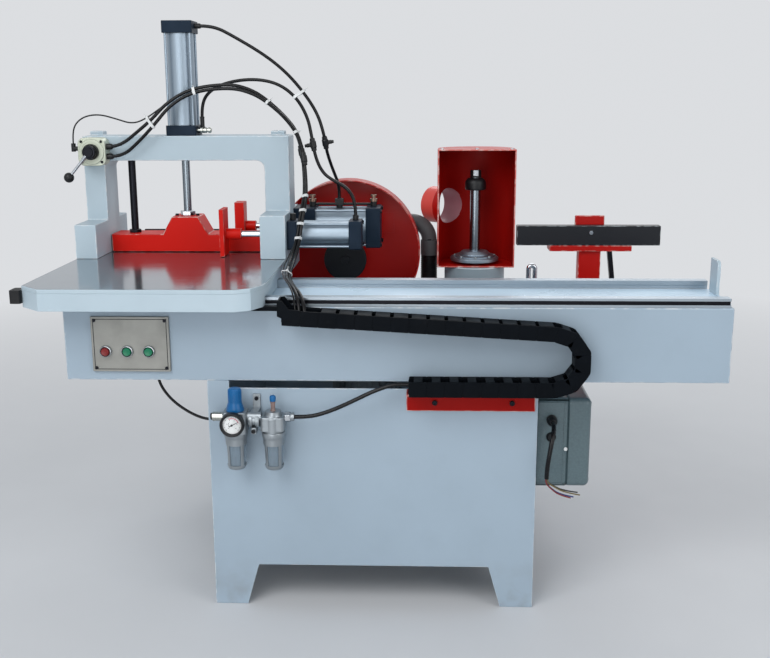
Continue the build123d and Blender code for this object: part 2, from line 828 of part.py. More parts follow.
# Clamp rod with its piston, on the boss
piston_z = clamp_barrel_z + PISTON_T
with BuildPart() as clamp_rod:
    bar((clamp_x, clamp_y, boss_top), "Z", CLAMP_ROD_R, piston_z - boss_top)
    bar((clamp_x, clamp_y, piston_z), "Z", CLAMP_BORE_R - FIT, PISTON_T)
clamp_rod.part.label = "clamp_rod"
export_step(clamp_rod.part, "parts/clamp_rod.step")

# Guide bar from the press bar into the beam
with BuildPart() as guide_bar:
    bar((guide_bar_x, clamp_y, press_z[1]), "Z", GUIDE_BAR_R, beam_top - press_z[1] - LUG_H)
guide_bar.part.label = "guide_bar"
export_step(guide_bar.part, "parts/guide_bar.step")


def pusher(x, y, thick, wide, sleeve_l, piston_x, bore_r):
    """A pusher plate with its sleeve, rod and piston along X."""
    plate_z = (work_z + PRESS_GAP, work_z + PRESS_GAP + PUSH_PLATE_H)
    with BuildPart() as push:
        block((x, x + thick), spread(y, wide), plate_z)
        bar((x + thick, y, push_z), "X", SLEEVE_OUT_R, sleeve_l)
        bar((x + thick + sleeve_l, y, push_z), "X", PUSH_ROD_R, piston_x - x - thick - sleeve_l)
        bar((piston_x, y, push_z), "X", bore_r - FIT, PISTON_T)
    return push


front_pusher = pusher(
    bed_left + FRONT_PUSH_X,
    front_push_y,
    FRONT_PLATE_T,
    FRONT_PLATE_W,
    FRONT_SLEEVE_L,
    front_barrel_x + (FRONT_BARREL_L - PISTON_T) / 2,
    FRONT_BORE_R,
)
front_pusher.part.label = "front_pusher"
export_step(front_pusher.part, "parts/front_pusher.step")

rear_pusher = pusher(
    bed_left + REAR_PUSH_X,
    rear_push_y,
    REAR_PLATE_T,
    REAR_PLATE_W,
    REAR_SLEEVE_L,
    rear_barrel_x + (REAR_BARREL_L - PISTON_T) / 2,
    REAR_BORE_R,
)
rear_pusher.part.label = "rear_pusher"
export_step(rear_pusher.part, "parts/rear_pusher.step")

# Hand valve on the left post
valve_x = (table_left, table_left + VALVE_W)
valve_y = (post_y[0] - VALVE_D, post_y[0])
valve_z = (beam_top - VALVE_TOP_DROP - VALVE_H, beam_top - VALVE_TOP_DROP)
hub_x = (valve_x[0] + valve_x[1]) / 2
hub_z = (valve_z[0] + valve_z[1]) / 2
hub_front = valve_y[0] - HUB_L
with BuildPart() as hand_valve:
    block(valve_x, valve_y, valve_z)
    fillet(hand_valve.edges().filter_by(Axis.Y), VALVE_W / 10)
    bar((hub_x, hub_front, hub_z), "Y", HUB_R, HUB_L)
hand_valve.part.label = "hand_valve"
export_step(hand_valve.part, "parts/hand_valve.step")

# Valve lever: rotor, arm and ball
rotor_back = hub_front - RUN
lever_y = rotor_back - ROTOR_L / 2
lever_way = (cos(radians(LEVER_ANGLE)), sin(radians(LEVER_ANGLE)))
lever_plane = Plane(origin=(hub_x, lever_y, hub_z), z_dir=(lever_way[0], 0, lever_way[1]))
with BuildPart() as valve_lever:
    bar((hub_x, rotor_back - ROTOR_L, hub_z), "Y", ROTOR_R, ROTOR_L)
    fillet(valve_lever.edges().sort_by(Axis.Y)[0], ROTOR_L / 5)
    with BuildSketch(lever_plane):
        Circle(LEVER_R)
    extrude(amount=LEVER_L)
    with Locations(lever_plane.offset(LEVER_L)):
        Sphere(LEVER_BALL_R)
valve_lever.part.label = "valve_lever"
export_step(valve_lever.part, "parts/valve_lever.step")

# Fittings of the air hoses on the table
tee_x = rear_end_x - TEE_BACK
front_top = push_z + FRONT_CAP / 2
rear_top = push_z + REAR_CAP / 2
rear_barrel_top = push_z + REAR_BARREL_R
tee_top = rear_barrel_top + TEE_NECK + TEE_H
cap_side = clamp_x + CLAMP_CAP / 2
top_port_z = clamp_top_z + CLAMP_TOP_H * TOP_PORT_SHARE
elbow_x = cap_side + ELBOW_REACH
elbow_z = beam_top + CLAMP_BASE_H / 2
valve_port_y = valve_y[0] + VALVE_PORT_SETBACK
exhaust_x = valve_x[0] - EXHAUST_L
bridge_x = (rear_barrel_x - SPEED_SETBACK, rear_end_x + REAR_END_L / 2)
front_port_x = front_end_x + FRONT_END_L / 2
with BuildPart() as air_fittings:
    bar((cap_side, clamp_y, top_port_z), "X", TOP_PORT_R, TOP_PORT_L)
    bar((cap_side, clamp_y, elbow_z), "X", ELBOW_R, ELBOW_L)
    bar((elbow_x, clamp_y, elbow_z), "Z", ELBOW_NECK_R, ELBOW_NECK_H)
    for z in (hub_z + VALVE_PORT_STEP, hub_z - VALVE_PORT_STEP):
        bar((valve_x[1], valve_port_y, z), "X", VALVE_PORT_R, VALVE_PORT_L)
    bar((exhaust_x, valve_port_y, hub_z + EXHAUST_RISE), "X", EXHAUST_R, EXHAUST_L)
    bar((exhaust_x, valve_port_y, hub_z), "Z", EXHAUST_R, EXHAUST_H)
    bar((tee_x, rear_push_y, push_z), "Z", TEE_R, tee_top - push_z)
    bar((rear_barrel_x, rear_push_y, push_z), "X", REAR_BARREL_R, REAR_BARREL_L, Mode.SUBTRACT)
    block(spread(tee_x, TEE_W), spread(rear_push_y, TEE_D), (tee_top - TEE_H, tee_top))
    for x in bridge_x:
        step_z = rear_top
        for radius, height in (
            (SPEED_FOOT_R, SPEED_FOOT_H),
            (SPEED_COLLAR_R, SPEED_COLLAR_H),
            (SPEED_STEM_R, SPEED_STEM_H),
            (SPEED_KNOB_R, SPEED_KNOB_H),
        ):
            bar((x, rear_push_y, step_z), "Z", radius, height)
            step_z += height
    bar((bridge_x[0], rear_push_y, rear_top + SPEED_FOOT_H / 2), "X", BRIDGE_R, bridge_x[1] - bridge_x[0])
    bar((front_port_x, front_push_y, front_top), "Z", FRONT_PORT_R, FRONT_PORT_H)
    bar((front_barrel_x - FRONT_CAP_L / 2, front_push_y, front_top), "Z", FRONT_PORT_R, FRONT_CAP_PORT_H)
air_fittings.part.label = "air_fittings"
export_step(air_fittings.part, "parts/air_fittings.step")


def hose(name, points, radius):
    """A round hose on straight runs joined by the widest tangent arcs, with its radii printed."""
    runs = [Vector(*end) - Vector(*start) for start, end in zip(points, points[1:])]
    radii = []
    for before, after in zip(runs, runs[1:]):
        half_turn = radians(before.get_angle(after)) / 2
        radii.append(ARC_SHARE * min(before.length, after.length) / tan(half_turn))
    with BuildPart() as tube:
        with BuildLine() as route:
            FilletPolyline(*points, radius=radii)
        with BuildSketch(Plane(origin=points[0], z_dir=runs[0])):
            Circle(radius)
        sweep()
    length = sum(edge.length for edge in route.edges())
    share = tube.part.volume / (pi * radius**2 * length)
    print(name, "length", round(length), "volume share", round(share, 4), "radii", [round(r) for r in radii])
    return tube.part


# Air hoses carried by the table, from port to port
valve_port_x = valve_x[1] + VALVE_PORT_L
hose_upper = [
    (valve_port_x, valve_port_y, hub_z + VALVE_PORT_STEP),
    (valve_port_x + VALVE_LEAD, valve_port_y, hub_z + VALVE_PORT_STEP),
    on_table(84, 0.6672, 315),
    on_table(128, 0.6656, 352),
    on_table(171, 0.6719, 399),
    on_table(234, 0.6875, 435),
    on_table(338, 0.6953, 447),
    on_table(396, 0.6953, 431),
    on_table(437, 0.6875, 404),
    on_table(480, 0.6797, 365),
    on_table(514, 0.6703, 322),
    on_table(531, 0.6484, 262),
    on_table(537, 0.6031, 168),
    on_table(529, 0.5563, 126),
    on_table(524, 0.5375, 88),
    on_table(518, 0.5094, 48),
    on_table(509, 0.4437, 14),
    on_table(508, 0.3203, -3),
    on_table(516, 0.1938, -6),
    on_table(532, 0.0906, -12),
    on_table(549, 0.0219, -19),
    on_table(560, -0.0281, -33),
    on_table(566, -0.0594, -56),
    on_table(568, -0.0719, -82),
]
hose_lower = [
    (valve_port_x, valve_port_y, hub_z - VALVE_PORT_STEP),
    (valve_port_x + VALVE_LEAD, valve_port_y, hub_z - VALVE_PORT_STEP),
    on_table(88, 0.6594, 286),
    on_table(136, 0.6484, 329),
    on_table(183, 0.6531, 386),
    on_table(244, 0.6719, 424),
    on_table(340, 0.6797, 436),
    on_table(399, 0.6797, 421),
    on_table(443, 0.6672, 395),
    on_table(487, 0.6594, 358),
    on_table(522, 0.65, 314),
    on_table(539, 0.6281, 256),
    on_table(545, 0.5844, 162),
    on_table(537, 0.5406, 120),
    on_table(532, 0.5219, 82),
    on_table(528, 0.4938, 42),
    on_table(521, 0.4281, 8),
    on_table(520, 0.3047, -10),
    on_table(528, 0.1812, -13),
    on_table(544, 0.0781, -19),
    on_table(563, 0.0094, -27),
    on_table(574, -0.0406, -41),
    on_table(580, -0.0719, -64),
    on_table(582, -0.0828, -88),
]
hose_thin = [
    (exhaust_x, valve_port_y, hub_z + EXHAUST_H),
    (exhaust_x, valve_port_y, hub_z + EXHAUST_H + THIN_LEAD),
    on_table(-80, 0.6719, 354),
    on_table(-54, 0.6766, 372),
    on_table(-15, 0.6797, 376),
    on_table(28, 0.6813, 364),
    on_table(72, 0.6813, 350),
    on_table(112, 0.6828, 366),
    on_table(155, 0.6875, 406),
    on_table(224, 0.7063, 448),
    on_table(336, 0.7141, 461),
    on_table(400, 0.7141, 444),
    on_table(444, 0.7063, 416),
    on_table(488, 0.6984, 376),
    on_table(523, 0.6891, 332),
    on_table(541, 0.6672, 268),
    on_table(547, 0.6219, 174),
    on_table(538, 0.575, 132),
    on_table(530, 0.5625, 93),
    on_table(518, 0.5375, 55),
    on_table(504, 0.4688, 20),
    on_table(498, 0.4, 8),
    on_table(497, 0.3219, 1),
    on_table(501, 0.2437, -1),
    on_table(509, 0.1688, -3),
    on_table(523, 0.0969, -7),
    on_table(539, 0.0312, -14),
    on_table(550, -0.0219, -28),
    on_table(556, -0.0531, -51),
    on_table(558, -0.0656, -77),
]
hose_top_port = [
    (cap_side + TOP_PORT_L, clamp_y, top_port_z),
    (cap_side + TOP_PORT_L + PORT_LEAD, clamp_y, top_port_z),
    on_table(340, 0.7875, 579),
    on_table(424, 0.775, 530),
    on_table(482, 0.7656, 484),
    on_table(528, 0.7562, 432),
    on_table(565, 0.7469, 376),
    on_table(582, 0.7438, 320),
    on_table(587, 0.7688, 274),
    on_table(596, 0.8125, 236),
    on_table(603, 0.8625, 208),
    (tee_x, rear_push_y, tee_top + PORT_LEAD),
    (tee_x, rear_push_y, tee_top),
]
hose_base_port = [
    (elbow_x, clamp_y, elbow_z + ELBOW_NECK_H),
    (elbow_x, clamp_y, elbow_z + ELBOW_NECK_H + VALVE_LEAD),
    on_table(264, 0.7828, 432),
    on_table(310, 0.7656, 456),
    on_table(385, 0.75, 468),
    on_table(456, 0.7406, 458),
    on_table(508, 0.7281, 422),
    on_table(540, 0.7188, 368),
    on_table(551, 0.7141, 312),
    on_table(560, 0.7109, 258),
    on_table(580, 0.7, 218),
    on_table(612, 0.6781, 198),
    on_table(648, 0.6484, 182),
    (front_port_x, front_push_y, front_top + FRONT_PORT_H + PORT_LEAD),
    (front_port_x, front_push_y, front_top + FRONT_PORT_H),
]
hose_solids = [
    hose("upper valve hose", hose_upper, AIR_HOSE_R),
    hose("lower valve hose", hose_lower, AIR_HOSE_R),
    hose("thin valve hose", hose_thin, THIN_HOSE_R),
    hose("top port hose", hose_top_port, AIR_HOSE_R),
    hose("base port hose", hose_base_port, AIR_HOSE_R),
]
with BuildPart() as table_hoses:
    add(hose_solids)
table_hoses.part.label = "table_hoses"
export_step(table_hoses.part, "parts/table_hoses.step")


def chain_links(x, z, count, tilt, open_links):
    """Straight chain links from a start point towards +X, open on top at the hose entry."""
    with BuildPart() as run:
        for i in range(count):
            along = (i + 0.5) * LINK_PITCH
            middle = (x + along * cos(tilt), chain_y, z - along * sin(tilt))
            with Locations(Location(middle, (0, degrees(tilt), 0))):
                Box(LINK_PITCH - LINK_GAP, LINK_W, LINK_H)
                Box(LINK_PITCH, LINK_W - 2 * LINK_WALL, LINK_H - 2 * LINK_WALL, mode=Mode.SUBTRACT)
                if i < open_links:
                    with Locations((0, 0, LINK_H / 2)):
                        Box(LINK_PITCH, LINK_W - 2 * LINK_WALL, LINK_H, mode=Mode.SUBTRACT)
    return run


# Cable chain: lower run on the shelf, bend, and upper run under the table
chain_lower_run = chain_links(chain_foot_x, lower_mid_z, LOWER_LINKS, 0, 0)
chain_lower_run.part.label = "chain_lower_run"
export_step(chain_lower_run.part, "parts/chain_lower_run.step")

chain_start = (chain_end_x - CHAIN_SLACK, upper_mid_z + UPPER_RISE)
chain_upper_run = chain_links(*chain_start, UPPER_LINKS, upper_tilt, OPEN_LINKS)
chain_upper_run.part.label = "chain_upper_run"
export_step(chain_upper_run.part, "parts/chain_upper_run.step")

bend_z = lower_mid_z + bend_r
bend_out = bend_r + LINK_H / 2
bend_in = bend_r - LINK_H / 2
with BuildPart() as chain_bend:
    with BuildSketch(facing(chain_y + LINK_W / 2)):
        with Locations((bend_x, bend_z)):
            Circle(bend_out)
            Circle(bend_in, mode=Mode.SUBTRACT)
            with Locations((-bend_out + LINK_GAP, 0)):
                Rectangle(2 * bend_out, 3 * bend_out, mode=Mode.SUBTRACT)
        for i in range(1, BEND_LINKS):
            with Locations(Location((bend_x, bend_z, 0), (0, 0, -90 + 180 / BEND_LINKS * i))):
                Rectangle(3 * bend_out, LINK_GAP, mode=Mode.SUBTRACT)
    extrude(amount=LINK_W)
    with BuildSketch(facing(chain_y + LINK_W / 2 - LINK_WALL)):
        with Locations((bend_x, bend_z)):
            Circle(bend_out - LINK_WALL)
            Circle(bend_in + LINK_WALL, mode=Mode.SUBTRACT)
    extrude(amount=LINK_W - 2 * LINK_WALL, mode=Mode.SUBTRACT)
chain_bend.part.label = "chain_bend"
export_step(chain_bend.part, "parts/chain_bend.step")

# Red angle shelf under the chain
shelf_x = (bed_left + SHELF_X, bed_left + SHELF_X + SHELF_L)
with BuildPart() as chain_shelf:
    block(shelf_x, (front - SHELF_D, front), (shelf_top - SHELF_T, shelf_top))
    block(shelf_x, (front - SHELF_T, front), (shelf_top - SHELF_H, shelf_top))
chain_shelf.part.label = "chain_shelf"
export_step(chain_shelf.part, "parts/chain_shelf.step")

# Air preparation unit: filter regulator and oiler bodies
air_y = front + AIR_UNIT_Y
filter_x = bed_left + FILTER_X
oiler_x = bed_left + OILER_X
air_body_z = CABINET_H - AIR_BODY_DROP
air_top = air_body_z + AIR_BODY_H
with BuildPart() as air_unit_bodies:
    for x in (filter_x, oiler_x):
        block(spread(x, AIR_BODY_W), spread(air_y, AIR_BODY_W), (air_body_z, air_top))
    fillet(air_unit_bodies.edges().filter_by(Axis.Z), AIR_BODY_W / 8)
    bar((oiler_x, air_y, air_top), "Z", DRIP_STEM_R, DRIP_STEM_H)
air_unit_bodies.part.label = "air_unit_bodies"
export_step(air_unit_bodies.part, "parts/air_unit_bodies.step")

# Bowls under the two bodies
with BuildPart() as air_unit_bowls:
    for x in (filter_x, oiler_x):
        bar((x, air_y, air_body_z - BOWL_H), "Z", BOWL_R, BOWL_H)
    fillet(air_unit_bowls.edges().group_by(Axis.Z)[0], BOWL_R / 2)
    for x in (filter_x, oiler_x):
        bar(
            (x, air_y, air_body_z - BOWL_H + 2 * BOWL_WALL),
            "Z",
            BOWL_R - BOWL_WALL,
            BOWL_H - 2 * BOWL_WALL,
            Mode.SUBTRACT,
        )
air_unit_bowls.part.label = "air_unit_bowls"
export_step(air_unit_bowls.part, "parts/air_unit_bowls.step")

# Regulator knob and oiler drip knob
knob_z = air_top + RUN
with BuildPart() as regulator_knob:
    bar((filter_x, air_y, knob_z), "Z", KNOB_FLARE_R, KNOB_FLARE_H)
    chamfer(regulator_knob.edges().group_by(Axis.Z)[-1], KNOB_FLARE_R - REGULATOR_KNOB_R - 0.5)
    bar((filter_x, air_y, knob_z + KNOB_FLARE_H), "Z", REGULATOR_KNOB_R, REGULATOR_KNOB_H)
    fillet(regulator_knob.edges().group_by(Axis.Z)[-1], REGULATOR_KNOB_R / 8)
regulator_knob.part.label = "regulator_knob"
export_step(regulator_knob.part, "parts/regulator_knob.step")

drip_z = air_top + DRIP_STEM_H + RUN
with BuildPart() as drip_knob:
    bar((oiler_x, air_y, drip_z), "Z", DRIP_KNOB_R, DRIP_KNOB_H)
    chamfer(drip_knob.edges().group_by(Axis.Z)[-1], DRIP_KNOB_R / 5)
drip_knob.part.label = "drip_knob"
export_step(drip_knob.part, "parts/drip_knob.step")

# Couplings and bracket of the air unit
with BuildPart() as air_unit_fittings:
    inlet_x = filter_x - AIR_BODY_W / 2 - PORT_L
    bar((inlet_x, air_y, air_port_z), "X", PORT_R, PORT_L)
    bar((inlet_x, air_y, air_port_z), "X", PORT_BORE_R, PORT_BORE_L, Mode.SUBTRACT)
    outlet_x = oiler_x + AIR_BODY_W / 2
    bar((outlet_x, air_y, air_port_z), "X", OUTLET_PORT_R, OUTLET_PORT_L)
    joint_x = (filter_x + AIR_BODY_W / 2, oiler_x - AIR_BODY_W / 2)
    bar((joint_x[0], air_y, air_port_z), "X", PORT_R, joint_x[1] - joint_x[0])
    bracket_x = spread((joint_x[0] + joint_x[1]) / 2, BRACKET_W)
    block(bracket_x, (air_y, front), spread(air_port_z, BRACKET_H / 2))
    block(bracket_x, (front - SHEET, front), (air_port_z, air_port_z + BRACKET_H))
air_unit_fittings.part.label = "air_unit_fittings"
export_step(air_unit_fittings.part, "parts/air_unit_fittings.step")

# Pressure gauge on the regulator and its pointer
body_front = air_y - AIR_BODY_W / 2
gauge_back = body_front - GAUGE_STEM_L
gauge_front = gauge_back - GAUGE_T
gauge_z = CABINET_H - GAUGE_DROP
with BuildPart() as pressure_gauge:
    bar((filter_x, gauge_back, gauge_z), "Y", GAUGE_STEM_R, GAUGE_STEM_L)
    bar((filter_x, gauge_front, gauge_z), "Y", GAUGE_R, GAUGE_T)
    bar((filter_x, gauge_front, gauge_z), "Y", GAUGE_R - GAUGE_WALL, GAUGE_CUP, Mode.SUBTRACT)
    bar((filter_x, gauge_front + GAUGE_CUP / 2 + RUN, gauge_z), "Y", 1, GAUGE_CUP / 2)
pressure_gauge.part.label = "pressure_gauge"
export_step(pressure_gauge.part, "parts/pressure_gauge.step")

pointer_back = gauge_front + GAUGE_CUP / 2
with BuildPart() as gauge_pointer:
    bar((filter_x, pointer_back - POINTER_T, gauge_z), "Y", 2 * POINTER_W, POINTER_T)
    with BuildSketch(facing(pointer_back)):
        with Locations(Location((filter_x, gauge_z, 0), (0, 0, POINTER_ANGLE))):
            Rectangle(POINTER_L, POINTER_W, align=(Align.MIN, Align.CENTER))
    extrude(amount=POINTER_T)
gauge_pointer.part.label = "gauge_pointer"
export_step(gauge_pointer.part, "parts/gauge_pointer.step")

# Air feed hose from the oiler to the chain
feed_points = [
    (outlet_x + OUTLET_PORT_L, air_y, air_port_z),
    (outlet_x + OUTLET_PORT_L + FEED_LEAD, air_y, air_port_z),
    on_front(614, -44, -68),
    on_front(656, -45, -51),
    on_front(698, -46, -30),
    on_front(738, -46, -10),
    on_front(774, -45, 3),
    (chain_foot_x - FEED_LEAD, chain_y, lower_mid_z + FEED_RISE),
    (chain_foot_x - LINK_GAP, chain_y, lower_mid_z + FEED_RISE),
]
with BuildPart() as air_feed_hose:
    add(hose("air feed hose", feed_points, FEED_HOSE_R))
air_feed_hose.part.label = "air_feed_hose"
export_step(air_feed_hose.part, "parts/air_feed_hose.step")

# Control cable from the bed to the cabinet
control_points = [
    cable_exit,
    on_front(CONTROL_EXIT_X, CONTROL_EXIT_Y, -30),
    on_front(202, 86, -58),
    on_front(220, 87, -84),
    on_front(246, 88, -106),
    on_front(278, 89, -122),
    on_front(BED_REACH - FEED_LEAD, CONTROL_HOLE_Y, -CONTROL_HOLE_DROP),
    on_front(BED_REACH + SHEET, CONTROL_HOLE_Y, -CONTROL_HOLE_DROP),
]
with BuildPart() as control_cable:
    add(hose("control cable", control_points, CONTROL_CABLE_R))
control_cable.part.label = "control_cable"
export_step(control_cable.part, "parts/control_cable.step")

# Terminal box with its lid
terminal_y = (front + TERMINAL_Y, front + TERMINAL_Y + TERMINAL_D)
seam_x = right_wall + TERMINAL_BODY_L
lid_x = seam_x + TERMINAL_LID_L
with BuildPart() as terminal_box:
    block((right_wall, seam_x), terminal_y, terminal_z)
    fillet(terminal_box.edges().filter_by(Axis.X), TERMINAL_ROUND)
    block(
        (right_wall + TERMINAL_WALL, seam_x),
        (terminal_y[0] + TERMINAL_WALL, terminal_y[1] - TERMINAL_WALL),
        (terminal_z[0] + TERMINAL_WALL, terminal_z[1] - TERMINAL_WALL),
        Mode.SUBTRACT,
    )
    bar(
        (right_wall, (terminal_y[0] + terminal_y[1]) / 2, terminal_hole_z),
        "X",
        GLAND_R,
        TERMINAL_WALL,
        Mode.SUBTRACT,
    )
terminal_box.part.label = "terminal_box"
export_step(terminal_box.part, "parts/terminal_box.step")

with BuildPart() as terminal_lid:
    block((seam_x, lid_x), terminal_y, terminal_z)
    fillet(terminal_lid.edges().filter_by(Axis.X), TERMINAL_ROUND)
    fillet(terminal_lid.faces().sort_by(Axis.X)[-1].edges(), TERMINAL_ROUND)
    block(
        (seam_x, lid_x - TERMINAL_WALL),
        (terminal_y[0] + 2 * TERMINAL_WALL, terminal_y[1] - 2 * TERMINAL_WALL),
        (terminal_z[0] + 2 * TERMINAL_WALL, terminal_z[1] - 2 * TERMINAL_WALL),
        Mode.SUBTRACT,
    )
terminal_lid.part.label = "terminal_lid"
export_step(terminal_lid.part, "parts/terminal_lid.step")

# Cable gland and blank grommet on the terminal box
gland_x = right_wall + TERMINAL_BODY_L / 2
gland_z = CABINET_H - GLAND_DROP
grommet_z = CABINET_H - GROMMET_DROP
with BuildPart() as cable_glands:
    bar((gland_x, terminal_y[0] - GLAND_L, gland_z), "Y", GLAND_R * 0.75, GLAND_L)
    bar((gland_x, terminal_y[0] - GLAND_L / 2, gland_z), "Y", GLAND_R, GLAND_L / 2)
    bar((gland_x, terminal_y[0] - GROMMET_L, grommet_z), "Y", GROMMET_R, GROMMET_L)
cable_glands.part.label = "cable_glands"
export_step(cable_glands.part, "parts/cable_glands.step")

# Supply cable hanging from the gland, with its cores bared at the end
gland_tip = terminal_y[0] - GLAND_L
supply_points = [
    (gland_x, gland_tip, gland_z),
    (gland_x, gland_tip - 22, gland_z),
    (gland_x - 4, gland_tip - 47, gland_z - 12),
    (gland_x - 11, gland_tip - 64, gland_z - 37),
    (gland_x - 16, gland_tip - 68, gland_z - 67),
    (gland_x - 19, gland_tip - 66, gland_z - 94),
    (gland_x - 19, gland_tip - 63, gland_z - 118),
]
# Bared cores, each a run along the sheath, then the lay of its own end
core_lays = (
    (-1.8, -0.8, -1.9, 60, -46),
    (1.8, 0.8, -1.9, 78, -40),
    (-1.8, -0.8, 1.9, 68, -48),
    (1.8, 0.8, 1.9, 74, -38),
)
core_solids = []
for i, (side, rise, depth, reach, drop) in enumerate(core_lays):
    start = Vector(*supply_points[-1]) + Vector(side, depth, rise)
    way = (Vector(*supply_points[-1]) - Vector(*supply_points[-2])).normalized()
    first = start + way * CORE_LEAD
    core_points = [
        tuple(start),
        tuple(first),
        (start.X + 0.2 * reach, first.Y, start.Z + 0.52 * drop),
        (start.X + 0.52 * reach, first.Y + depth, start.Z + 0.86 * drop),
        (start.X + reach, first.Y + 2 * depth, start.Z + drop),
    ]
    core_solids.append(hose(f"supply core {i + 1}", core_points, CORE_R))
supply_sheath = hose("supply cable", supply_points, SUPPLY_CABLE_R)
with BuildPart() as supply_cable:
    add(supply_sheath)
    add(core_solids)
supply_cable.part.label = "supply_cable"
export_step(supply_cable.part, "parts/supply_cable.step")

# Spindle housing on the deck
bearing_z = (CABINET_H + BEARING_EDGE, hood_z - BEARING_EDGE - BEARING_H)
with BuildPart() as spindle_housing:
    bar((spindle_x, spindle_y, CABINET_H), "Z", PEDESTAL_FLANGE_R, PEDESTAL_FLANGE_T)
    bar((spindle_x, spindle_y, CABINET_H), "Z", PEDESTAL_R, hood_z - CABINET_H)
    bar((spindle_x, spindle_y, CABINET_H), "Z", SHAFT_R * 1.4, hood_z - CABINET_H, Mode.SUBTRACT)
    for z in bearing_z:
        bar((spindle_x, spindle_y, z), "Z", BEARING_R, BEARING_H, Mode.SUBTRACT)
spindle_housing.part.label = "spindle_housing"
export_step(spindle_housing.part, "parts/spindle_housing.step")

# Spindle bearings
with BuildPart() as spindle_bearings:
    for z in bearing_z:
        bar((spindle_x, spindle_y, z), "Z", BEARING_R, BEARING_H)
        bar((spindle_x, spindle_y, z), "Z", SHAFT_R + FIT, BEARING_H, Mode.SUBTRACT)
spindle_bearings.part.label = "spindle_bearings"
export_step(spindle_bearings.part, "parts/spindle_bearings.step")

# Spindle shaft with its cutter flange
pulley_top = deck_under - PULLEY_DROP
nose_top = CABINET_H + NOSE_RISE
flange_z = CABINET_H + CUTTER_FLANGE_RISE
flange_top = flange_z + CUTTER_FLANGE_H
with BuildPart() as spindle_shaft:
    bar((spindle_x, spindle_y, pulley_top), "Z", SHAFT_R, flange_z - pulley_top)
    bar((spindle_x, spindle_y, flange_z), "Z", CUTTER_FLANGE_R, CUTTER_FLANGE_H)
    chamfer(spindle_shaft.edges().group_by(Axis.Z)[-1], CUTTER_FLANGE_H / 3)
    bar((spindle_x, spindle_y, flange_top), "Z", HUB_FLANGE_R, HUB_FLANGE_H)
    chamfer(spindle_shaft.edges().group_by(Axis.Z)[-1], HUB_FLANGE_H / 2)
    bar((spindle_x, spindle_y, flange_top + HUB_FLANGE_H), "Z", NOSE_R, nose_top - flange_top - HUB_FLANGE_H)
    chamfer(spindle_shaft.edges().group_by(Axis.Z)[-1], NOSE_R / 10)
spindle_shaft.part.label = "spindle_shaft"
export_step(spindle_shaft.part, "parts/spindle_shaft.step")

# Spindle nut
nut_z = CABINET_H + NUT_RISE
with BuildPart() as spindle_nut:
    bar((spindle_x, spindle_y, nut_z), "Z", NUT_R, NUT_H)
    chamfer(spindle_nut.edges().group_by(Axis.Z)[-1], NUT_H / 4)
    bar((spindle_x, spindle_y, nut_z), "Z", NOSE_R, NUT_H, Mode.SUBTRACT)
spindle_nut.part.label = "spindle_nut"
export_step(spindle_nut.part, "parts/spindle_nut.step")

# Pulleys on the spindle and the motor
pulley_z = pulley_top - PULLEY_H
motor_x = spindle_x - BELT_SPAN
motor_plate_z = pulley_z - MOTOR_PLATE_T - RUN


def pulley(x, radius, bore):
    """A flat belt pulley with rims."""
    with BuildPart() as wheel:
        bar((x, spindle_y, pulley_z), "Z", radius + BELT_T / 2, PULLEY_H)
        groove_z = pulley_z + (PULLEY_H - BELT_W) / 2 - RUN
        bar((x, spindle_y, groove_z), "Z", radius + BELT_T, BELT_W + 2 * RUN, Mode.SUBTRACT)
        bar((x, spindle_y, pulley_z), "Z", radius, PULLEY_H)
        if bore:
            bar((x, spindle_y, pulley_z), "Z", bore, PULLEY_H, Mode.SUBTRACT)
    return wheel


spindle_pulley = pulley(spindle_x, SPINDLE_PULLEY_R, 0)
spindle_pulley.part.label = "spindle_pulley"
export_step(spindle_pulley.part, "parts/spindle_pulley.step")

motor_pulley = pulley(motor_x, MOTOR_PULLEY_R, MOTOR_SHAFT_R + FIT)
motor_pulley.part.label = "motor_pulley"
export_step(motor_pulley.part, "parts/motor_pulley.step")

# Drive belt round the two pulleys
belt_z = pulley_z + (PULLEY_H - BELT_W) / 2
with BuildPart() as drive_belt:
    with BuildSketch(Plane.XY.offset(belt_z)) as belt_outside:
        with Locations((motor_x, spindle_y)):
            Circle(MOTOR_PULLEY_R + RUN + BELT_T)
        with Locations((spindle_x, spindle_y)):
            Circle(SPINDLE_PULLEY_R + RUN + BELT_T)
        make_hull(belt_outside.edges())
    extrude(amount=BELT_W)
    with BuildSketch(Plane.XY.offset(belt_z)) as belt_inside:
        with Locations((motor_x, spindle_y)):
            Circle(MOTOR_PULLEY_R + RUN)
        with Locations((spindle_x, spindle_y)):
            Circle(SPINDLE_PULLEY_R + RUN)
        make_hull(belt_inside.edges())
    extrude(amount=BELT_W, mode=Mode.SUBTRACT)
drive_belt.part.label = "drive_belt"
export_step(drive_belt.part, "parts/drive_belt.step")

# Main motor hung under the deck on a plate and four hangers
hanger_grid = MOTOR_PLATE - 4 * HANGER_R
with BuildPart() as main_motor:
    bar((motor_x, spindle_y, motor_plate_z - MOTOR_H), "Z", MOTOR_R, MOTOR_H)
    fillet(main_motor.edges().group_by(Axis.Z)[0], MOTOR_R / 10)
    block(
        spread(motor_x, MOTOR_PLATE),
        spread(spindle_y, MOTOR_PLATE),
        (motor_plate_z, motor_plate_z + MOTOR_PLATE_T),
    )
    with Locations((motor_x, spindle_y, motor_plate_z)):
        with GridLocations(hanger_grid, hanger_grid, 2, 2):
            Cylinder(
                HANGER_R,
                deck_under - motor_plate_z,
                align=(Align.CENTER, Align.CENTER, Align.MIN),
            )
    bar((motor_x, spindle_y, motor_plate_z), "Z", MOTOR_SHAFT_R, pulley_top - motor_plate_z)
main_motor.part.label = "main_motor"
export_step(main_motor.part, "parts/main_motor.step")

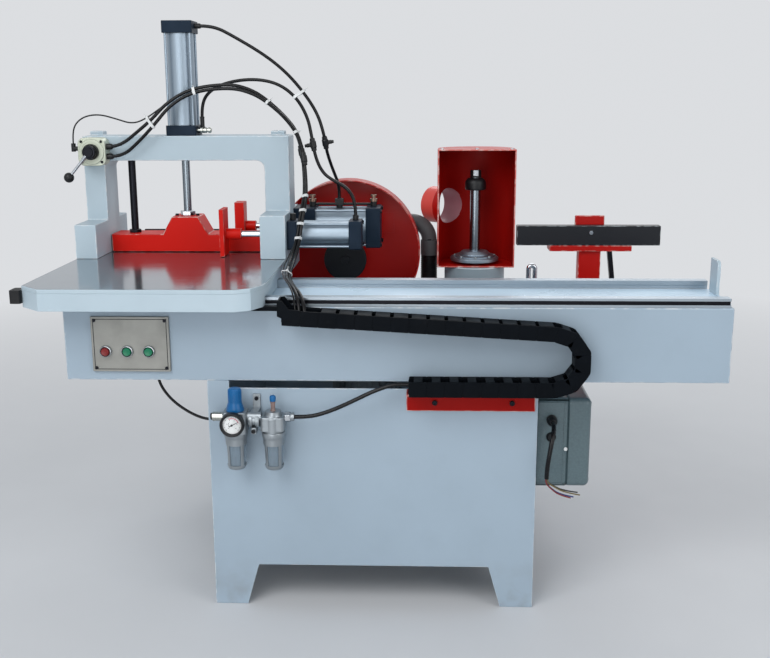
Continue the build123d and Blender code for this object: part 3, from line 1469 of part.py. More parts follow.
# Spindle hood: base, straight sides round the back, open front, top and dust port
port_way = (cos(radians(DUST_PORT_ANGLE)), sin(radians(DUST_PORT_ANGLE)))
port_plane = Plane(
    origin=(spindle_x, spindle_y, CABINET_H + DUST_PORT_RISE),
    x_dir=(-port_way[1], port_way[0], 0),
    z_dir=(port_way[0], port_way[1], 0),
)
port_end = HOOD_R + DUST_PORT_L
hood_front = spindle_y - HOOD_FRONT
hood_inner_r = HOOD_R - HOOD_T
hood_inside = (hood_z + HOOD_T, hood_z + HOOD_H - HOOD_T)
with BuildPart() as spindle_hood:
    bar((spindle_x, spindle_y, hood_z), "Z", HOOD_R, HOOD_H)
    block(spread(spindle_x, 2 * HOOD_R), (hood_front, spindle_y), (hood_z, hood_z + HOOD_H))
    with BuildSketch(port_plane):
        Circle(DUST_PORT_R)
    extrude(amount=port_end)
    with BuildSketch(port_plane):
        Circle(DUST_PORT_R + DUST_COLLAR)
    extrude(amount=HOOD_R + DUST_COLLAR_L)
    bar((spindle_x, spindle_y, hood_inside[0]), "Z", hood_inner_r, HOOD_H - 2 * HOOD_T, Mode.SUBTRACT)
    block(spread(spindle_x, 2 * hood_inner_r), (hood_front, spindle_y), hood_inside, Mode.SUBTRACT)
    with BuildSketch(port_plane):
        Circle(DUST_PORT_R - DUST_PORT_WALL)
    extrude(amount=port_end, mode=Mode.SUBTRACT)
    block(
        spread(spindle_x, 2 * HOOD_R),
        (spindle_y - HOOD_R, hood_front),
        (hood_z, hood_z + HOOD_H),
        Mode.SUBTRACT,
    )
    bar((spindle_x, spindle_y, hood_z), "Z", SHAFT_R * 1.4, HOOD_T, Mode.SUBTRACT)
spindle_hood.part.label = "spindle_hood"
export_step(spindle_hood.part, "parts/spindle_hood.step")

# Saw guard: a drum open to the front, flattened on the deck, with a dust outlet behind
guard_x = bed_left + GUARD_X
guard_y = back - GUARD_BACK
guard_back = guard_y + GUARD_D
guard_z = CABINET_H + GUARD_R - GUARD_SINK
saw_x = bed_left + SAW_X
duct_x = spindle_x - DUCT_REACH
duct_y = back - DUCT_BACK
outlet_right = duct_x - 2 * DUCT_BEND
with BuildPart() as saw_guard:
    bar((guard_x, guard_y, guard_z), "Y", GUARD_R, GUARD_D)
    block(
        spread(guard_x, 3 * GUARD_R),
        (guard_y, guard_back),
        (CABINET_H - 2 * GUARD_R, CABINET_H),
        Mode.SUBTRACT,
    )
    bar((guard_x, guard_y, guard_z), "Y", GUARD_R - GUARD_T, GUARD_D - GUARD_T, Mode.SUBTRACT)
    block(
        (outlet_right - OUTLET_L, outlet_right),
        (guard_back, duct_y + DUCT_R + GUARD_T),
        spread(duct_z, 2 * DUCT_R + 2 * GUARD_T),
    )
    block(
        (outlet_right - OUTLET_L + GUARD_T, outlet_right - GUARD_T),
        (guard_back - GUARD_T, duct_y + DUCT_R),
        spread(duct_z, 2 * DUCT_R),
        Mode.SUBTRACT,
    )
    bar((outlet_right - GUARD_T, duct_y, duct_z), "X", DUCT_R - DUCT_WALL, GUARD_T, Mode.SUBTRACT)
    bar((saw_x, guard_back - GUARD_T, saw_z), "Y", SAW_SHAFT_R * 1.5, GUARD_T, Mode.SUBTRACT)
saw_guard.part.label = "saw_guard"
export_step(saw_guard.part, "parts/saw_guard.step")

# Saw arbor: flange, bolt and shaft
saw_flange_y = back - SAW_FLANGE_BACK
with BuildPart() as saw_arbor:
    bar((saw_x, saw_flange_y, saw_z), "Y", SAW_FLANGE_R, SAW_FLANGE_T)
    chamfer(saw_arbor.edges().sort_by(Axis.Y)[0], SAW_FLANGE_T / 5)
    bar((saw_x, saw_flange_y - SAW_BOLT_T, saw_z), "Y", SAW_BOLT_R, SAW_BOLT_T)
    saw_shaft_y = saw_flange_y + SAW_FLANGE_T
    bar((saw_x, saw_shaft_y, saw_z), "Y", SAW_SHAFT_R, guard_back + SAW_MOTOR_L / 2 - saw_shaft_y)
saw_arbor.part.label = "saw_arbor"
export_step(saw_arbor.part, "parts/saw_arbor.step")

# Saw motor on its foot behind the guard
with BuildPart() as saw_motor:
    bar((saw_x, guard_back, saw_z), "Y", SAW_MOTOR_R, SAW_MOTOR_L)
    fillet(saw_motor.edges().sort_by(Axis.Y)[-1], SAW_MOTOR_R / 8)
    foot_y = (guard_back + GUARD_T, guard_back + GUARD_T + SAW_FOOT_L)
    block(spread(saw_x, SAW_FOOT_W), foot_y, (CABINET_H, saw_z))
    bar((saw_x, guard_back, saw_z), "Y", SAW_SHAFT_R + FIT, SAW_MOTOR_L / 2 + SAW_FLANGE_T, Mode.SUBTRACT)
saw_motor.part.label = "saw_motor"
export_step(saw_motor.part, "parts/saw_motor.step")

# Dust duct from the guard's outlet down to the deck
with BuildPart() as saw_dust_duct:
    with BuildLine():
        FilletPolyline(
            (duct_x, duct_y, CABINET_H),
            (duct_x, duct_y, duct_z),
            (outlet_right, duct_y, duct_z),
            radius=DUCT_BEND,
        )
    with BuildSketch(Plane(origin=(duct_x, duct_y, CABINET_H), z_dir=(0, 0, 1))):
        Circle(DUCT_R)
        Circle(DUCT_R - DUCT_WALL, mode=Mode.SUBTRACT)
    sweep()
saw_dust_duct.part.label = "saw_dust_duct"
export_step(saw_dust_duct.part, "parts/saw_dust_duct.step")

# Alignment post: arm from the bed, post, plate and lug
align_x = right_wall + ALIGN_REACH
arm_z = CABINET_H + ALIGN_ARM_RISE
arm_top = arm_z + ALIGN_ARM_T
align_bar_y = back - ALIGN_BACK
align_back = align_bar_y + ALIGN_BAR_T
align_plate_z = CABINET_H + ALIGN_PLATE_RISE
plate_top = align_plate_z + ALIGN_PLATE_T
arm_x = (align_x - ALIGN_POST_W, align_x - ALIGN_POST_W + ALIGN_ARM_W)
with BuildPart() as alignment_post:
    block(arm_x, (bed_back, align_back + ALIGN_POST_D), (arm_z, arm_top))
    block(arm_x, (bed_back, bed_back + ALIGN_ARM_T), (arm_top - ALIGN_ARM_FLANGE, arm_top))
    block(spread(align_x, ALIGN_POST_W), spread(align_back, ALIGN_POST_D), (arm_top, align_plate_z))
    block(
        spread(align_x, ALIGN_PLATE_L),
        (align_bar_y, align_bar_y + ALIGN_PLATE_D),
        (align_plate_z, plate_top),
    )
    block(
        spread(align_x, ALIGN_LUG_W),
        (align_back, align_back + ALIGN_LUG_T),
        (plate_top, plate_top + ALIGN_LUG_H),
    )
alignment_post.part.label = "alignment_post"
export_step(alignment_post.part, "parts/alignment_post.step")

# Alignment bar on the plate, and the slanted brace of the post
bar_middle = align_x - ALIGN_BAR_OFFSET
brace_y = spread(align_back, BRACE_T)
with BuildPart() as alignment_bar:
    block(
        spread(bar_middle, ALIGN_BAR_L),
        (align_bar_y, align_back),
        (plate_top, plate_top + ALIGN_BAR_H),
    )
    with BuildSketch(facing(brace_y[1])):
        with BuildLine():
            Polyline(
                (align_x + BRACE_TOP - BRACE_W / 2, align_plate_z),
                (align_x + BRACE_TOP + BRACE_W / 2, align_plate_z),
                (align_x + BRACE_FOOT + BRACE_W / 2, arm_top),
                (align_x + BRACE_FOOT - BRACE_W / 2, arm_top),
                close=True,
            )
        make_face()
    extrude(amount=BRACE_T)
alignment_bar.part.label = "alignment_bar"
export_step(alignment_bar.part, "parts/alignment_bar.step")

# Metal conduit arch on the deck
conduit_x = right_wall + CONDUIT_REACH
conduit_y = back - CONDUIT_BACK
arch_r = CONDUIT_W / 2
arch_z = CABINET_H + CONDUIT_H - CONDUIT_R - arch_r
with BuildPart() as conduit_arch:
    with BuildLine():
        leg_up = Line((conduit_x - arch_r, conduit_y, CABINET_H), (conduit_x - arch_r, conduit_y, arch_z))
        crown = ThreePointArc(
            leg_up @ 1,
            (conduit_x, conduit_y, arch_z + arch_r),
            (conduit_x + arch_r, conduit_y, arch_z),
        )
        Line(crown @ 1, (conduit_x + arch_r, conduit_y, CABINET_H))
    with BuildSketch(Plane(origin=leg_up @ 0, z_dir=(0, 0, 1))):
        Circle(CONDUIT_R)
    sweep()
conduit_arch.part.label = "conduit_arch"
export_step(conduit_arch.part, "parts/conduit_arch.step")

# Screws and bolts on the fixed pieces
with BuildPart() as machine_screws:
    for x in (panel_x[0] + PANEL_SCREW_INSET, panel_x[1] - PANEL_SCREW_INSET):
        for z in (panel_z[0] + PANEL_SCREW_INSET, panel_z[1] - PANEL_SCREW_INSET):
            bar((x, panel_front - PANEL_SCREW_R / 2, z), "Y", PANEL_SCREW_R, PANEL_SCREW_R / 2)
    for share in SHELF_SCREW_SHARES:
        shelf_screw = (shelf_x[0] + SHELF_L * share, front - 2 * SHELF_T, shelf_top - SHELF_SCREW_DROP)
        bar(shelf_screw, "Y", SHELF_SCREW_R, SHELF_T)
    bar_screw = (align_x, align_bar_y - ALIGN_SCREW_T, plate_top + ALIGN_SCREW_RISE)
    bar(bar_screw, "Y", ALIGN_SCREW_R, ALIGN_SCREW_T)
    bracket_middle = (bracket_x[0] + bracket_x[1]) / 2
    bracket_screw = (bracket_middle, front - SHEET - PANEL_SCREW_R, air_port_z + BRACKET_SCREW_RISE)
    bar(bracket_screw, "Y", PANEL_SCREW_R, PANEL_SCREW_R)
machine_screws.part.label = "machine_screws"
export_step(machine_screws.part, "parts/machine_screws.step")
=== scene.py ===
"""Looks of a finger joint shaper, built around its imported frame."""

import json
from math import cos, pi, radians, sin, tau

import bpy
from bpy.props import FloatProperty, FloatVectorProperty, IntProperty, PointerProperty
from bpy.types import Operator, Panel, PropertyGroup
from mathutils import Matrix, Vector
from mathutils.geometry import convex_hull_2d


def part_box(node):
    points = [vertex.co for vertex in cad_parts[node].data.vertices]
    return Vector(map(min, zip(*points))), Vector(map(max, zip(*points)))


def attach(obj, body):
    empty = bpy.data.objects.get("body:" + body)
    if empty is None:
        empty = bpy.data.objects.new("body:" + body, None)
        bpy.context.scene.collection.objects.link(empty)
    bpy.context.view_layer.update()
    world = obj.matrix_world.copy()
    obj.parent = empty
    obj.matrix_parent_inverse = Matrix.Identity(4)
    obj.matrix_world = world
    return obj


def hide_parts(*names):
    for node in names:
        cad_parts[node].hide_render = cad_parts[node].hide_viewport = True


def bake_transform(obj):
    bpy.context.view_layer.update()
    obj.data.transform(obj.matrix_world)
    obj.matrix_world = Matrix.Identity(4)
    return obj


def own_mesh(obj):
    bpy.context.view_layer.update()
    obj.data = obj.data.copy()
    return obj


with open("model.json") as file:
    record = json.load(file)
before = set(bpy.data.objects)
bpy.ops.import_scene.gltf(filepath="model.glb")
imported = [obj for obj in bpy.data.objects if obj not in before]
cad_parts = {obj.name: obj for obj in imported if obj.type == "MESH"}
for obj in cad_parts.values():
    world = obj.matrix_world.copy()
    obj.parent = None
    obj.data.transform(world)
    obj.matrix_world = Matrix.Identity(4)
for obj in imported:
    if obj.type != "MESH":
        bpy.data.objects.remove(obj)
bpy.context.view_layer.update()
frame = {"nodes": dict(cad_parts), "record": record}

bl_info = {
    "name": "Finger Joint Shaper",
    "version": (1, 0, 0),
    "blender": (4, 5, 0),
    "location": "View3D > Sidebar > Shaper",
    "description": "Dresses the machine's frame with its pieces and finishes",
    "category": "Object",
}

MM = 0.001
RECORD = frame["record"]
BODY_OF = {node: body for body, nodes in RECORD["behaviour"]["bodies"].items() for node in nodes}
BED_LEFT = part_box("bed_beam")[0].x
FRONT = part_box("base_cabinet")[0].y
RIGHT, AWAY, UP = Vector((1, 0, 0)), Vector((0, 1, 0)), Vector((0, 0, 1))


def spot(x, y, z):
    """A point in millimetres from the bed's left end, the cabinet's front and the floor."""
    return Vector((BED_LEFT + x * MM, FRONT + y * MM, z * MM))


def tone(red, green, blue):
    """A screen colour of 0 to 255 as a linear colour."""
    shares = (red / 255, green / 255, blue / 255)
    return tuple(s / 12.92 if s <= 0.04045 else ((s + 0.055) / 1.055) ** 2.4 for s in shares)


def colour(name, description, red, green, blue):
    """A colour that a user may change."""
    return FloatVectorProperty(
        name=name, description=description, subtype="COLOR", min=0, max=1, default=tone(red, green, blue)
    )


def length(name, description, size):
    """A length that a user may change, given in millimetres."""
    return FloatProperty(name=name, description=description, unit="LENGTH", min=0, default=size * MM)


class ShaperColours(PropertyGroup):
    """Colours of the machine's finishes."""

    body: colour("Body enamel", "Blue grey of cabinet and bed", 157, 174, 188)
    light: colour("Light enamel", "Paler grey of table, clamp frame and spindle base", 178, 195, 205)
    red: colour("Red enamel", "Guard, hood and post", 178, 16, 9)
    # The press bar's red is the guard's red paint, painted lighter for the light falling on it.
    bright: colour("Bright red", "Press bar and pushers", 206, 22, 10)
    port: colour("Port red", "Paler red of the hood's dust port", 216, 78, 70)
    navy: colour("Navy", "Anodised cylinder caps", 26, 40, 55)
    ink: colour("Ink blue", "Alignment bar", 15, 19, 26)
    aluminium: colour("Aluminium", "Cylinder barrels", 152, 166, 178)
    cast: colour("Cast aluminium", "Air unit and motors", 150, 157, 162)
    cream: colour("Cream aluminium", "Hand valve", 190, 196, 180)
    steel: colour("Steel", "Table top and rails", 184, 196, 206)
    chrome: colour("Chrome", "Rods, bezels and flanges", 200, 205, 210)
    dark: colour("Dark steel", "Blackened bolts and bars", 38, 39, 44)
    brass: colour("Brass", "Fittings", 132, 110, 98)
    black: colour("Black plastic", "Gauge, glands and fittings", 14, 16, 19)
    chain: colour("Chain black", "Cable chain and its bracket", 9, 13, 18)
    rubber: colour("Black rubber", "Hoses and cables", 9, 10, 13)
    stop: colour("Stop red", "Stop button", 124, 22, 24)
    start: colour("Start green", "Start buttons", 8, 112, 78)
    blue: colour("Knob blue", "Regulator and drip knobs", 0, 92, 150)
    panel: colour("Panel", "Button panel's plate", 146, 146, 141)
    cover: colour("Cover", "Plate between the rails", 208, 232, 250)
    box: colour("Hammered green", "Terminal box", 88, 108, 114)
    white: colour("White", "Cable ties and gauge dial", 226, 228, 228)
    floor: colour("Floor", "Studio floor", 214, 216, 219)


class ShaperSizes(PropertyGroup):
    """Sizes of the dressed pieces."""

    sheet_edge: length("Sheet edge", "Rounding of folded sheet", 2.5)
    cast_edge: length("Casting edge", "Rounding of castings and bars", 3)
    fine_edge: length("Fine edge", "Rounding of machined plates", 1)
    rail_groove: length("Rail groove", "Depth of the groove along each rail", 6)
    tie_width: length("Tie width", "Width of the cable ties", 7)
    knob_ribs: IntProperty(name="Knob ribs", description="Ribs round the regulator knob", default=18, min=6)
    motor_fins: IntProperty(name="Motor fins", description="Cooling fins round each motor", default=28, min=8)
    lens: FloatProperty(name="Lens", description="Focal length of the camera", default=48.22, unit="CAMERA")


def shaded(tint, share):
    """A colour made darker or lighter by a share."""
    return (*(min(1.0, part * share) for part in tint[:3]), 1.0)


MIX_FACTOR, MIX_UNDER, MIX_TOP, MIX_RESULT = 0, 6, 7, 2


class Finish:
    """A node material that reads object coordinates."""

    def __init__(self, name, metallic=0.0, coat=0.0, gloss=0.5):
        self.material = bpy.data.materials.new(name)
        self.material.use_nodes = True
        self.tree = self.material.node_tree
        self.shader = self.tree.nodes["Principled BSDF"]
        self.shader.inputs["Metallic"].default_value = metallic
        self.shader.inputs["Coat Weight"].default_value = coat
        self.shader.inputs["Specular IOR Level"].default_value = gloss
        self.place = self.tree.nodes.new("ShaderNodeTexCoord").outputs["Object"]

    def node(self, kind, links=(), **values):
        """A node with some inputs set and some linked."""
        made = self.tree.nodes.new(kind)
        for socket, value in values.items():
            made.inputs[socket].default_value = value
        for socket, source in links:
            self.tree.links.new(source, made.inputs[socket])
        return made

    def cloud(self, scale, detail=3.0, stretch=(1, 1, 1)):
        """Smooth noise, drawn out along the axes with a small stretch."""
        place = self.node("ShaderNodeMapping", [("Vector", self.place)], Scale=stretch)
        return self.node("ShaderNodeTexNoise", [("Vector", place.outputs[0])], Scale=scale, Detail=detail).outputs[0]

    def ranged(self, source, low, high, start=0.3, stop=0.7):
        """A value moved from one range to another."""
        node = self.node("ShaderNodeMapRange", [("Value", source)])
        for socket, value in zip(("From Min", "From Max", "To Min", "To Max"), (start, stop, low, high)):
            node.inputs[socket].default_value = value
        return node.outputs["Result"]

    def graded(self, source, low, high, start=0.3, stop=0.7):
        """Two colours blended by a value."""
        ramp = self.node("ShaderNodeValToRGB", [("Fac", source)])
        for stop_point, at, tint in zip(ramp.color_ramp.elements, (start, stop), (low, high)):
            stop_point.position = at
            stop_point.color = tint
        return ramp.outputs["Color"]

    def over(self, factor, under, top):
        """A plain colour laid over another by a value."""
        mix = self.node("ShaderNodeMix", [(MIX_FACTOR, factor), (MIX_UNDER, under)])
        mix.data_type = "RGBA"
        mix.inputs[MIX_TOP].default_value = top
        return mix.outputs[MIX_RESULT]

    def times(self, first, second):
        """The product of two values."""
        node = self.node("ShaderNodeMath", [(0, first), (1, second)])
        node.operation = "MULTIPLY"
        return node.outputs[0]

    def height(self, axis):
        """One of the object coordinates."""
        return self.node("ShaderNodeSeparateXYZ", [("Vector", self.place)]).outputs[axis]

    def wear(self, tint, rough, relief, depth, strength):
        """Links colour, roughness and surface relief to the shader."""
        bump = self.node("ShaderNodeBump", [("Height", relief)], Strength=strength, Distance=depth)
        for socket, source in (("Base Color", tint), ("Roughness", rough), ("Normal", bump.outputs[0])):
            self.tree.links.new(source, self.shader.inputs[socket])


def enamel(name, tint, rough, coat=0.08, soiled=False, gloss=0.32):
    """Sprayed enamel: faint clouds, orange peel, dull patches, and soil near the floor."""
    paint = Finish(name, coat=coat, gloss=gloss)
    paint.shader.inputs["Coat Roughness"].default_value = 0.15
    surface = paint.graded(paint.cloud(2.4, 5), shaded(tint, 0.95), shaded(tint, 1.05))
    smear = paint.ranged(paint.cloud(11, 6), 0.0, 0.3, 0.52, 0.72)
    surface = paint.over(smear, surface, shaded(tint, 0.9))
    if soiled:
        low = paint.ranged(paint.height("Z"), 0.4, 0.0, 0.0, 0.13)
        patch = paint.times(low, paint.ranged(paint.cloud(17, 6), 0.0, 1.0, 0.42, 0.66))
        surface = paint.over(patch, surface, (0.17, 0.16, 0.15, 1))
    dull = paint.ranged(paint.cloud(9, 4), rough - 0.06, rough + 0.1)
    paint.wear(surface, dull, paint.cloud(430, 2), 0.0003, 0.13)


def worn_edge(name, tint, bare):
    """Enamel rubbed thin along an edge, with the bright undercoat through in patches, and lighter all along as a
    painted highlight where the edge catches the light.
    """
    edge = Finish(name)
    rubbed = edge.ranged(edge.cloud(48, 6), 0.0, 0.8, 0.46, 0.62)
    surface = edge.over(rubbed, edge.graded(edge.cloud(14), shaded(tint, 1.02), shaded(tint, 1.16)), bare)
    edge.wear(surface, edge.ranged(edge.cloud(33), 0.3, 0.5), edge.cloud(300), 0.0002, 0.15)


def metal(name, tint, rough, stretch, depth=0.00006, spread=0.1, metallic=1.0):
    """Bare metal with its grinding or brushing marks along one way, and faint stains."""
    bare = Finish(name, metallic=metallic)
    grain = bare.cloud(1, 8, stretch)
    surface = bare.graded(grain, shaded(tint, 0.93), shaded(tint, 1.04), 0.25, 0.75)
    stain = bare.ranged(bare.cloud(7, 6), 0.0, 0.35, 0.5, 0.75)
    surface = bare.over(stain, surface, shaded(tint, 0.8))
    bare.wear(surface, bare.ranged(grain, rough - spread / 2, rough + spread), grain, depth, 0.12)


def cast(name, tint, rough, metallic=1.0, scale=520, depth=0.0004, gloss=0.5):
    """Die cast or blasted metal with a fine grain."""
    body = Finish(name, metallic=metallic, gloss=gloss)
    surface = body.graded(body.cloud(19, 5), shaded(tint, 0.85), shaded(tint, 1.08))
    body.wear(surface, body.ranged(body.cloud(40), rough - 0.05, rough + 0.1), body.cloud(scale, 3), depth, 0.3)


def moulded(name, tint, rough, scale=700, coat=0.0, gloss=0.35, depth=0.0002):
    """Moulded plastic or rubber: fine grain, scuffs and dust."""
    body = Finish(name, coat=coat, gloss=gloss)
    surface = body.graded(body.cloud(24, 4), shaded(tint, 0.85), shaded(tint, 1.15))
    scuff = body.ranged(body.cloud(60, 8), 0.0, 0.22, 0.6, 0.76)
    surface = body.over(scuff, surface, shaded([part + 0.008 for part in tint], 1.15))
    body.wear(surface, body.ranged(body.cloud(31), rough - 0.08, rough + 0.1), body.cloud(scale, 2), depth, 0.2)


def clear(name, tint, passing, rough):
    """Clear or milky plastic with a faint tint and wiped marks."""
    body = Finish(name)
    body.shader.inputs["Transmission Weight"].default_value = passing
    body.shader.inputs["IOR"].default_value = 1.46
    surface = body.graded(body.cloud(60, 3), shaded(tint, 0.92), shaded(tint, 1.05))
    body.wear(surface, body.ranged(body.cloud(90, 4), rough, rough + 0.12), body.cloud(240), 0.0001, 0.1)


def hammered(name, tint):
    """Hammer finish enamel: shallow round dents in a glossy skin."""
    skin = Finish(name, coat=0.3)
    dents = skin.node("ShaderNodeTexVoronoi", [("Vector", skin.place)], Scale=210.0)
    dents.feature = "SMOOTH_F1"
    surface = skin.graded(dents.outputs[0], shaded(tint, 1.08), shaded(tint, 0.82), 0.1, 0.8)
    surface = skin.over(skin.ranged(skin.cloud(6, 5), 0.0, 0.4), surface, shaded(tint, 0.82))
    skin.wear(surface, skin.ranged(skin.cloud(12), 0.3, 0.46), dents.outputs[0], 0.0006, 0.35)


def finish(name):
    """A finish that was made before, by its name."""
    return bpy.data.materials[name]


class SHAPER_OT_finishes(Operator):
    """Makes every finish of the machine"""

    bl_idname = "shaper.finishes"
    bl_label = "Finishes"

    def execute(self, context):
        hue = context.scene.shaper_colours
        # The edge finishes are worn enamel that is also painted lighter along every rounded edge, as a highlight.
        enamel("body enamel", hue.body, 0.44, soiled=True)
        worn_edge("body edge", hue.body, (0.6, 0.64, 0.67, 1))
        enamel("light enamel", hue.light, 0.42)
        worn_edge("light edge", hue.light, (0.7, 0.73, 0.75, 1))
        # Red enamel and lit red are one paint in a shaded and a lit copy; lit red is painted light on the press bar and
        # pushers.
        enamel("red enamel", hue.red, 0.38, 0.03, gloss=0.22)
        enamel("bright red", hue.bright, 0.4, 0.0, gloss=0.14)
        # Shaded red is a darker copy of the red enamel: painted shade inside the hood and on the chain tray.
        enamel("inner red", shaded(hue.red, 0.7), 0.5, 0.0, gloss=0.12)
        worn_edge("red edge", hue.red, (0.66, 0.42, 0.37, 1))
        enamel("port red", shaded(hue.port, 1.1), 0.35)
        enamel("port lining", tone(186, 126, 136), 0.4)
        worn_edge("hood edge", tone(196, 92, 84), (0.72, 0.5, 0.46, 1))
        # Shaded housing enamel is a darker copy of the light enamel: painted shade on the spindle base under the hood.
        enamel("housing enamel", shaded(hue.light, 0.6), 0.42)
        # Lit cover enamel is pale enamel made lighter still: partly the plate's paint, partly a painted highlight for
        # the light on its top.
        enamel("cover enamel", hue.cover, 0.3, 0.2)
        enamel("ink enamel", hue.ink, 0.4)
        worn_edge("ink edge", hue.ink, (0.26, 0.3, 0.32, 1))
        cast("navy anodised", hue.navy, 0.42, 0.2, 900, 0.00005, 0.12)
        metal("barrel upright", hue.aluminium, 0.44, (300, 300, 4), 0.00002, 0.06)
        metal("barrel lying", hue.aluminium, 0.42, (4, 300, 300), 0.00002, 0.06)
        cast("panel aluminium", hue.panel, 0.46, 0.35, 900, 0.0001)
        cast("cast aluminium", hue.cast, 0.34, 0.8)
        cast("motor aluminium", hue.cast, 0.5, 0.75, 380)
        cast("cream aluminium", hue.cream, 0.4, 0.5, 600)
        metal("table steel", shaded(hue.steel, 0.6), 0.11, (6, 240, 6), 0.00002, 0.08, 0.86)
        metal("rail steel", shaded(hue.steel, 0.8), 0.36, (3, 260, 260), 0.00002)
        metal("ground steel", shaded(hue.steel, 0.5), 0.24, (14, 14, 14), 0.000001, 0.03)
        metal("bright chrome", hue.chrome, 0.12, (90, 90, 90), 0.00001, 0.06)
        metal("turned steel", shaded(hue.chrome, 0.8), 0.2, (60, 60, 300), 0.00001)
        metal("dark steel", hue.dark, 0.36, (70, 70, 70))
        metal("turned brass", hue.brass, 0.3, (160, 160, 160))
        metal("nickel", tone(176, 178, 172), 0.24, (120, 120, 120), 0.00001)
        moulded("black plastic", hue.black, 0.4)
        moulded("chain plastic", hue.chain, 0.46, 420, gloss=0.05)
        moulded("hose rubber", hue.rubber, 0.24, 520, gloss=0.24, depth=0.00002)
        moulded("duct rubber", shaded(hue.rubber, 1.4), 0.55, 260)
        moulded("duct grey", tone(92, 100, 102), 0.5, 260)
        moulded("belt rubber", hue.rubber, 0.66, 160)
        moulded("stop cap", hue.stop, 0.32, 900, 0.1)
        moulded("start cap", hue.start, 0.32, 900, 0.1)
        moulded("knob blue", hue.blue, 0.36, 800, 0.1)
        moulded("tie white", hue.white, 0.38, 800)
        moulded("dial white", hue.white, 0.45, 900)
        moulded("dial rose", tone(206, 120, 134), 0.5, 900)
        moulded("core red", tone(120, 46, 40), 0.42)
        moulded("core blue", tone(34, 58, 120), 0.42)
        moulded("core yellow", tone(104, 92, 58), 0.42)
        clear("bowl clear", tone(140, 158, 172), 0.4, 0.14)
        clear("sight rose", tone(176, 146, 138), 0.6, 0.1)
        hammered("hammered green", hue.box)
        return {"FINISHED"}


HAIRLINE, SLIGHT = 0.6 * MM, 0.8 * MM
SHARP, SMOOTH, FLAT = radians(32), radians(38), radians(0.5)
WELD = 0.000001
ORIGIN = (0, 0, 0)


def deselect():
    """Leaves edit mode and lets go of all that is selected."""
    if bpy.context.object and bpy.context.object.mode != "OBJECT":
        bpy.ops.object.mode_set(mode="OBJECT")
    bpy.ops.object.select_all(action="DESELECT")


def pick(*pieces):
    """Selects these pieces alone; the first is the active one."""
    deselect()
    for piece in pieces:
        piece.select_set(True)
    bpy.context.view_layer.objects.active = pieces[0]


def edit(piece, test=None):
    """Opens a piece in edit mode with all faces selected, or those that pass a test of centre and normal."""
    pick(piece)
    bpy.context.tool_settings.mesh_select_mode = (False, False, True)
    bpy.ops.object.mode_set(mode="EDIT")
    bpy.ops.mesh.select_all(action="DESELECT" if test else "SELECT")
    if test:
        bpy.ops.object.mode_set(mode="OBJECT")
        for face in piece.data.polygons:
            face.select = bool(test(face.center, face.normal))
        bpy.ops.object.mode_set(mode="EDIT")


def edit_points():
    """Opens the active piece in edit mode with all points selected."""
    bpy.context.tool_settings.mesh_select_mode = (True, False, False)
    bpy.ops.object.mode_set(mode="EDIT")
    bpy.ops.mesh.select_all(action="SELECT")


def close():
    """Leaves edit mode."""
    bpy.ops.object.mode_set(mode="OBJECT")
    return bpy.context.object


def close_outward():
    """Turns all faces outwards and leaves edit mode."""
    bpy.ops.mesh.select_all(action="SELECT")
    bpy.ops.mesh.normals_make_consistent(inside=False)
    return close()


def join(*pieces):
    """Makes one object of several."""
    pick(*pieces)
    if len(pieces) > 1:
        bpy.ops.object.join()
    return bpy.context.object


def bake(piece, name=""):
    """Puts a piece's place, turn and size into its mesh, and may name it."""
    pick(piece)
    bpy.ops.object.transform_apply(location=True, rotation=True, scale=True)
    if name:
        piece.name = piece.data.name = name
    return piece


def modify(piece, kind, **settings):
    """Gives the active piece a modifier with these settings and applies it."""
    modifier = piece.modifiers.new(kind.lower(), kind)
    for setting, value in settings.items():
        setattr(modifier, setting, value)
    bpy.ops.object.modifier_apply(modifier=modifier.name)


def coat(piece, *names):
    """Gives a piece its finishes."""
    piece.data.materials.clear()
    for name in names:
        piece.data.materials.append(finish(name))
    return piece


def repaint(piece, name, test):
    """Gives a finish to the faces that pass a test of centre, in millimetres, and normal."""
    if piece.data.materials.find(name) < 0:
        piece.data.materials.append(finish(name))
    index = piece.data.materials.find(name)
    for face in piece.data.polygons:
        if test((face.center.x - BED_LEFT) / MM, (face.center.y - FRONT) / MM, face.center.z / MM, face.normal):
            face.material_index = index
    return piece


def block(low, high):
    """A block between two corners."""
    deselect()
    low, high = spot(*low), spot(*high)
    bpy.ops.mesh.primitive_cube_add(size=1, location=(low + high) / 2, scale=high - low)
    return bake(bpy.context.object)


def border(low, high, front, back, thin):
    """Four strips round a rectangle that faces the front, between two corners across and up."""
    (left, bottom), (right, top) = low, high
    strips = (
        (left, bottom, right, bottom + thin), (left, top - thin, right, top),
        (left, bottom, left + thin, top), (right - thin, bottom, right, top),
    )
    return [block((x, front, z), (far, back, up)) for x, z, far, up in strips]


def rounded(near, far, low, high, radius, steps=4):
    """Corners of a rectangle with round corners, as pairs across and up."""
    middles = ((far - radius, high - radius), (near + radius, high - radius), (near + radius, low + radius))
    corners = []
    for quarter, (across, up) in enumerate((*middles, (far - radius, low + radius))):
        for step in range(steps + 1):
            angle = pi / 2 * (quarter + step / steps)
            corners.append((across + radius * cos(angle), up + radius * sin(angle)))
    return corners


def ring_of(points):
    """A closed ring of edges through points."""
    deselect()
    bpy.ops.mesh.primitive_circle_add(vertices=len(points), radius=1)
    piece = bpy.context.object
    for vertex, point in zip(piece.data.vertices, points):
        vertex.co = point
    return piece


def drawn(outline, run):
    """A straight piece: an outline of points, filled and extruded along a run in millimetres."""
    ring_of([spot(*point) for point in outline])
    edit_points()
    bpy.ops.mesh.edge_face_add()
    bpy.ops.mesh.extrude_region_move(TRANSFORM_OT_translate={"value": Vector(run) * MM})
    return close_outward()


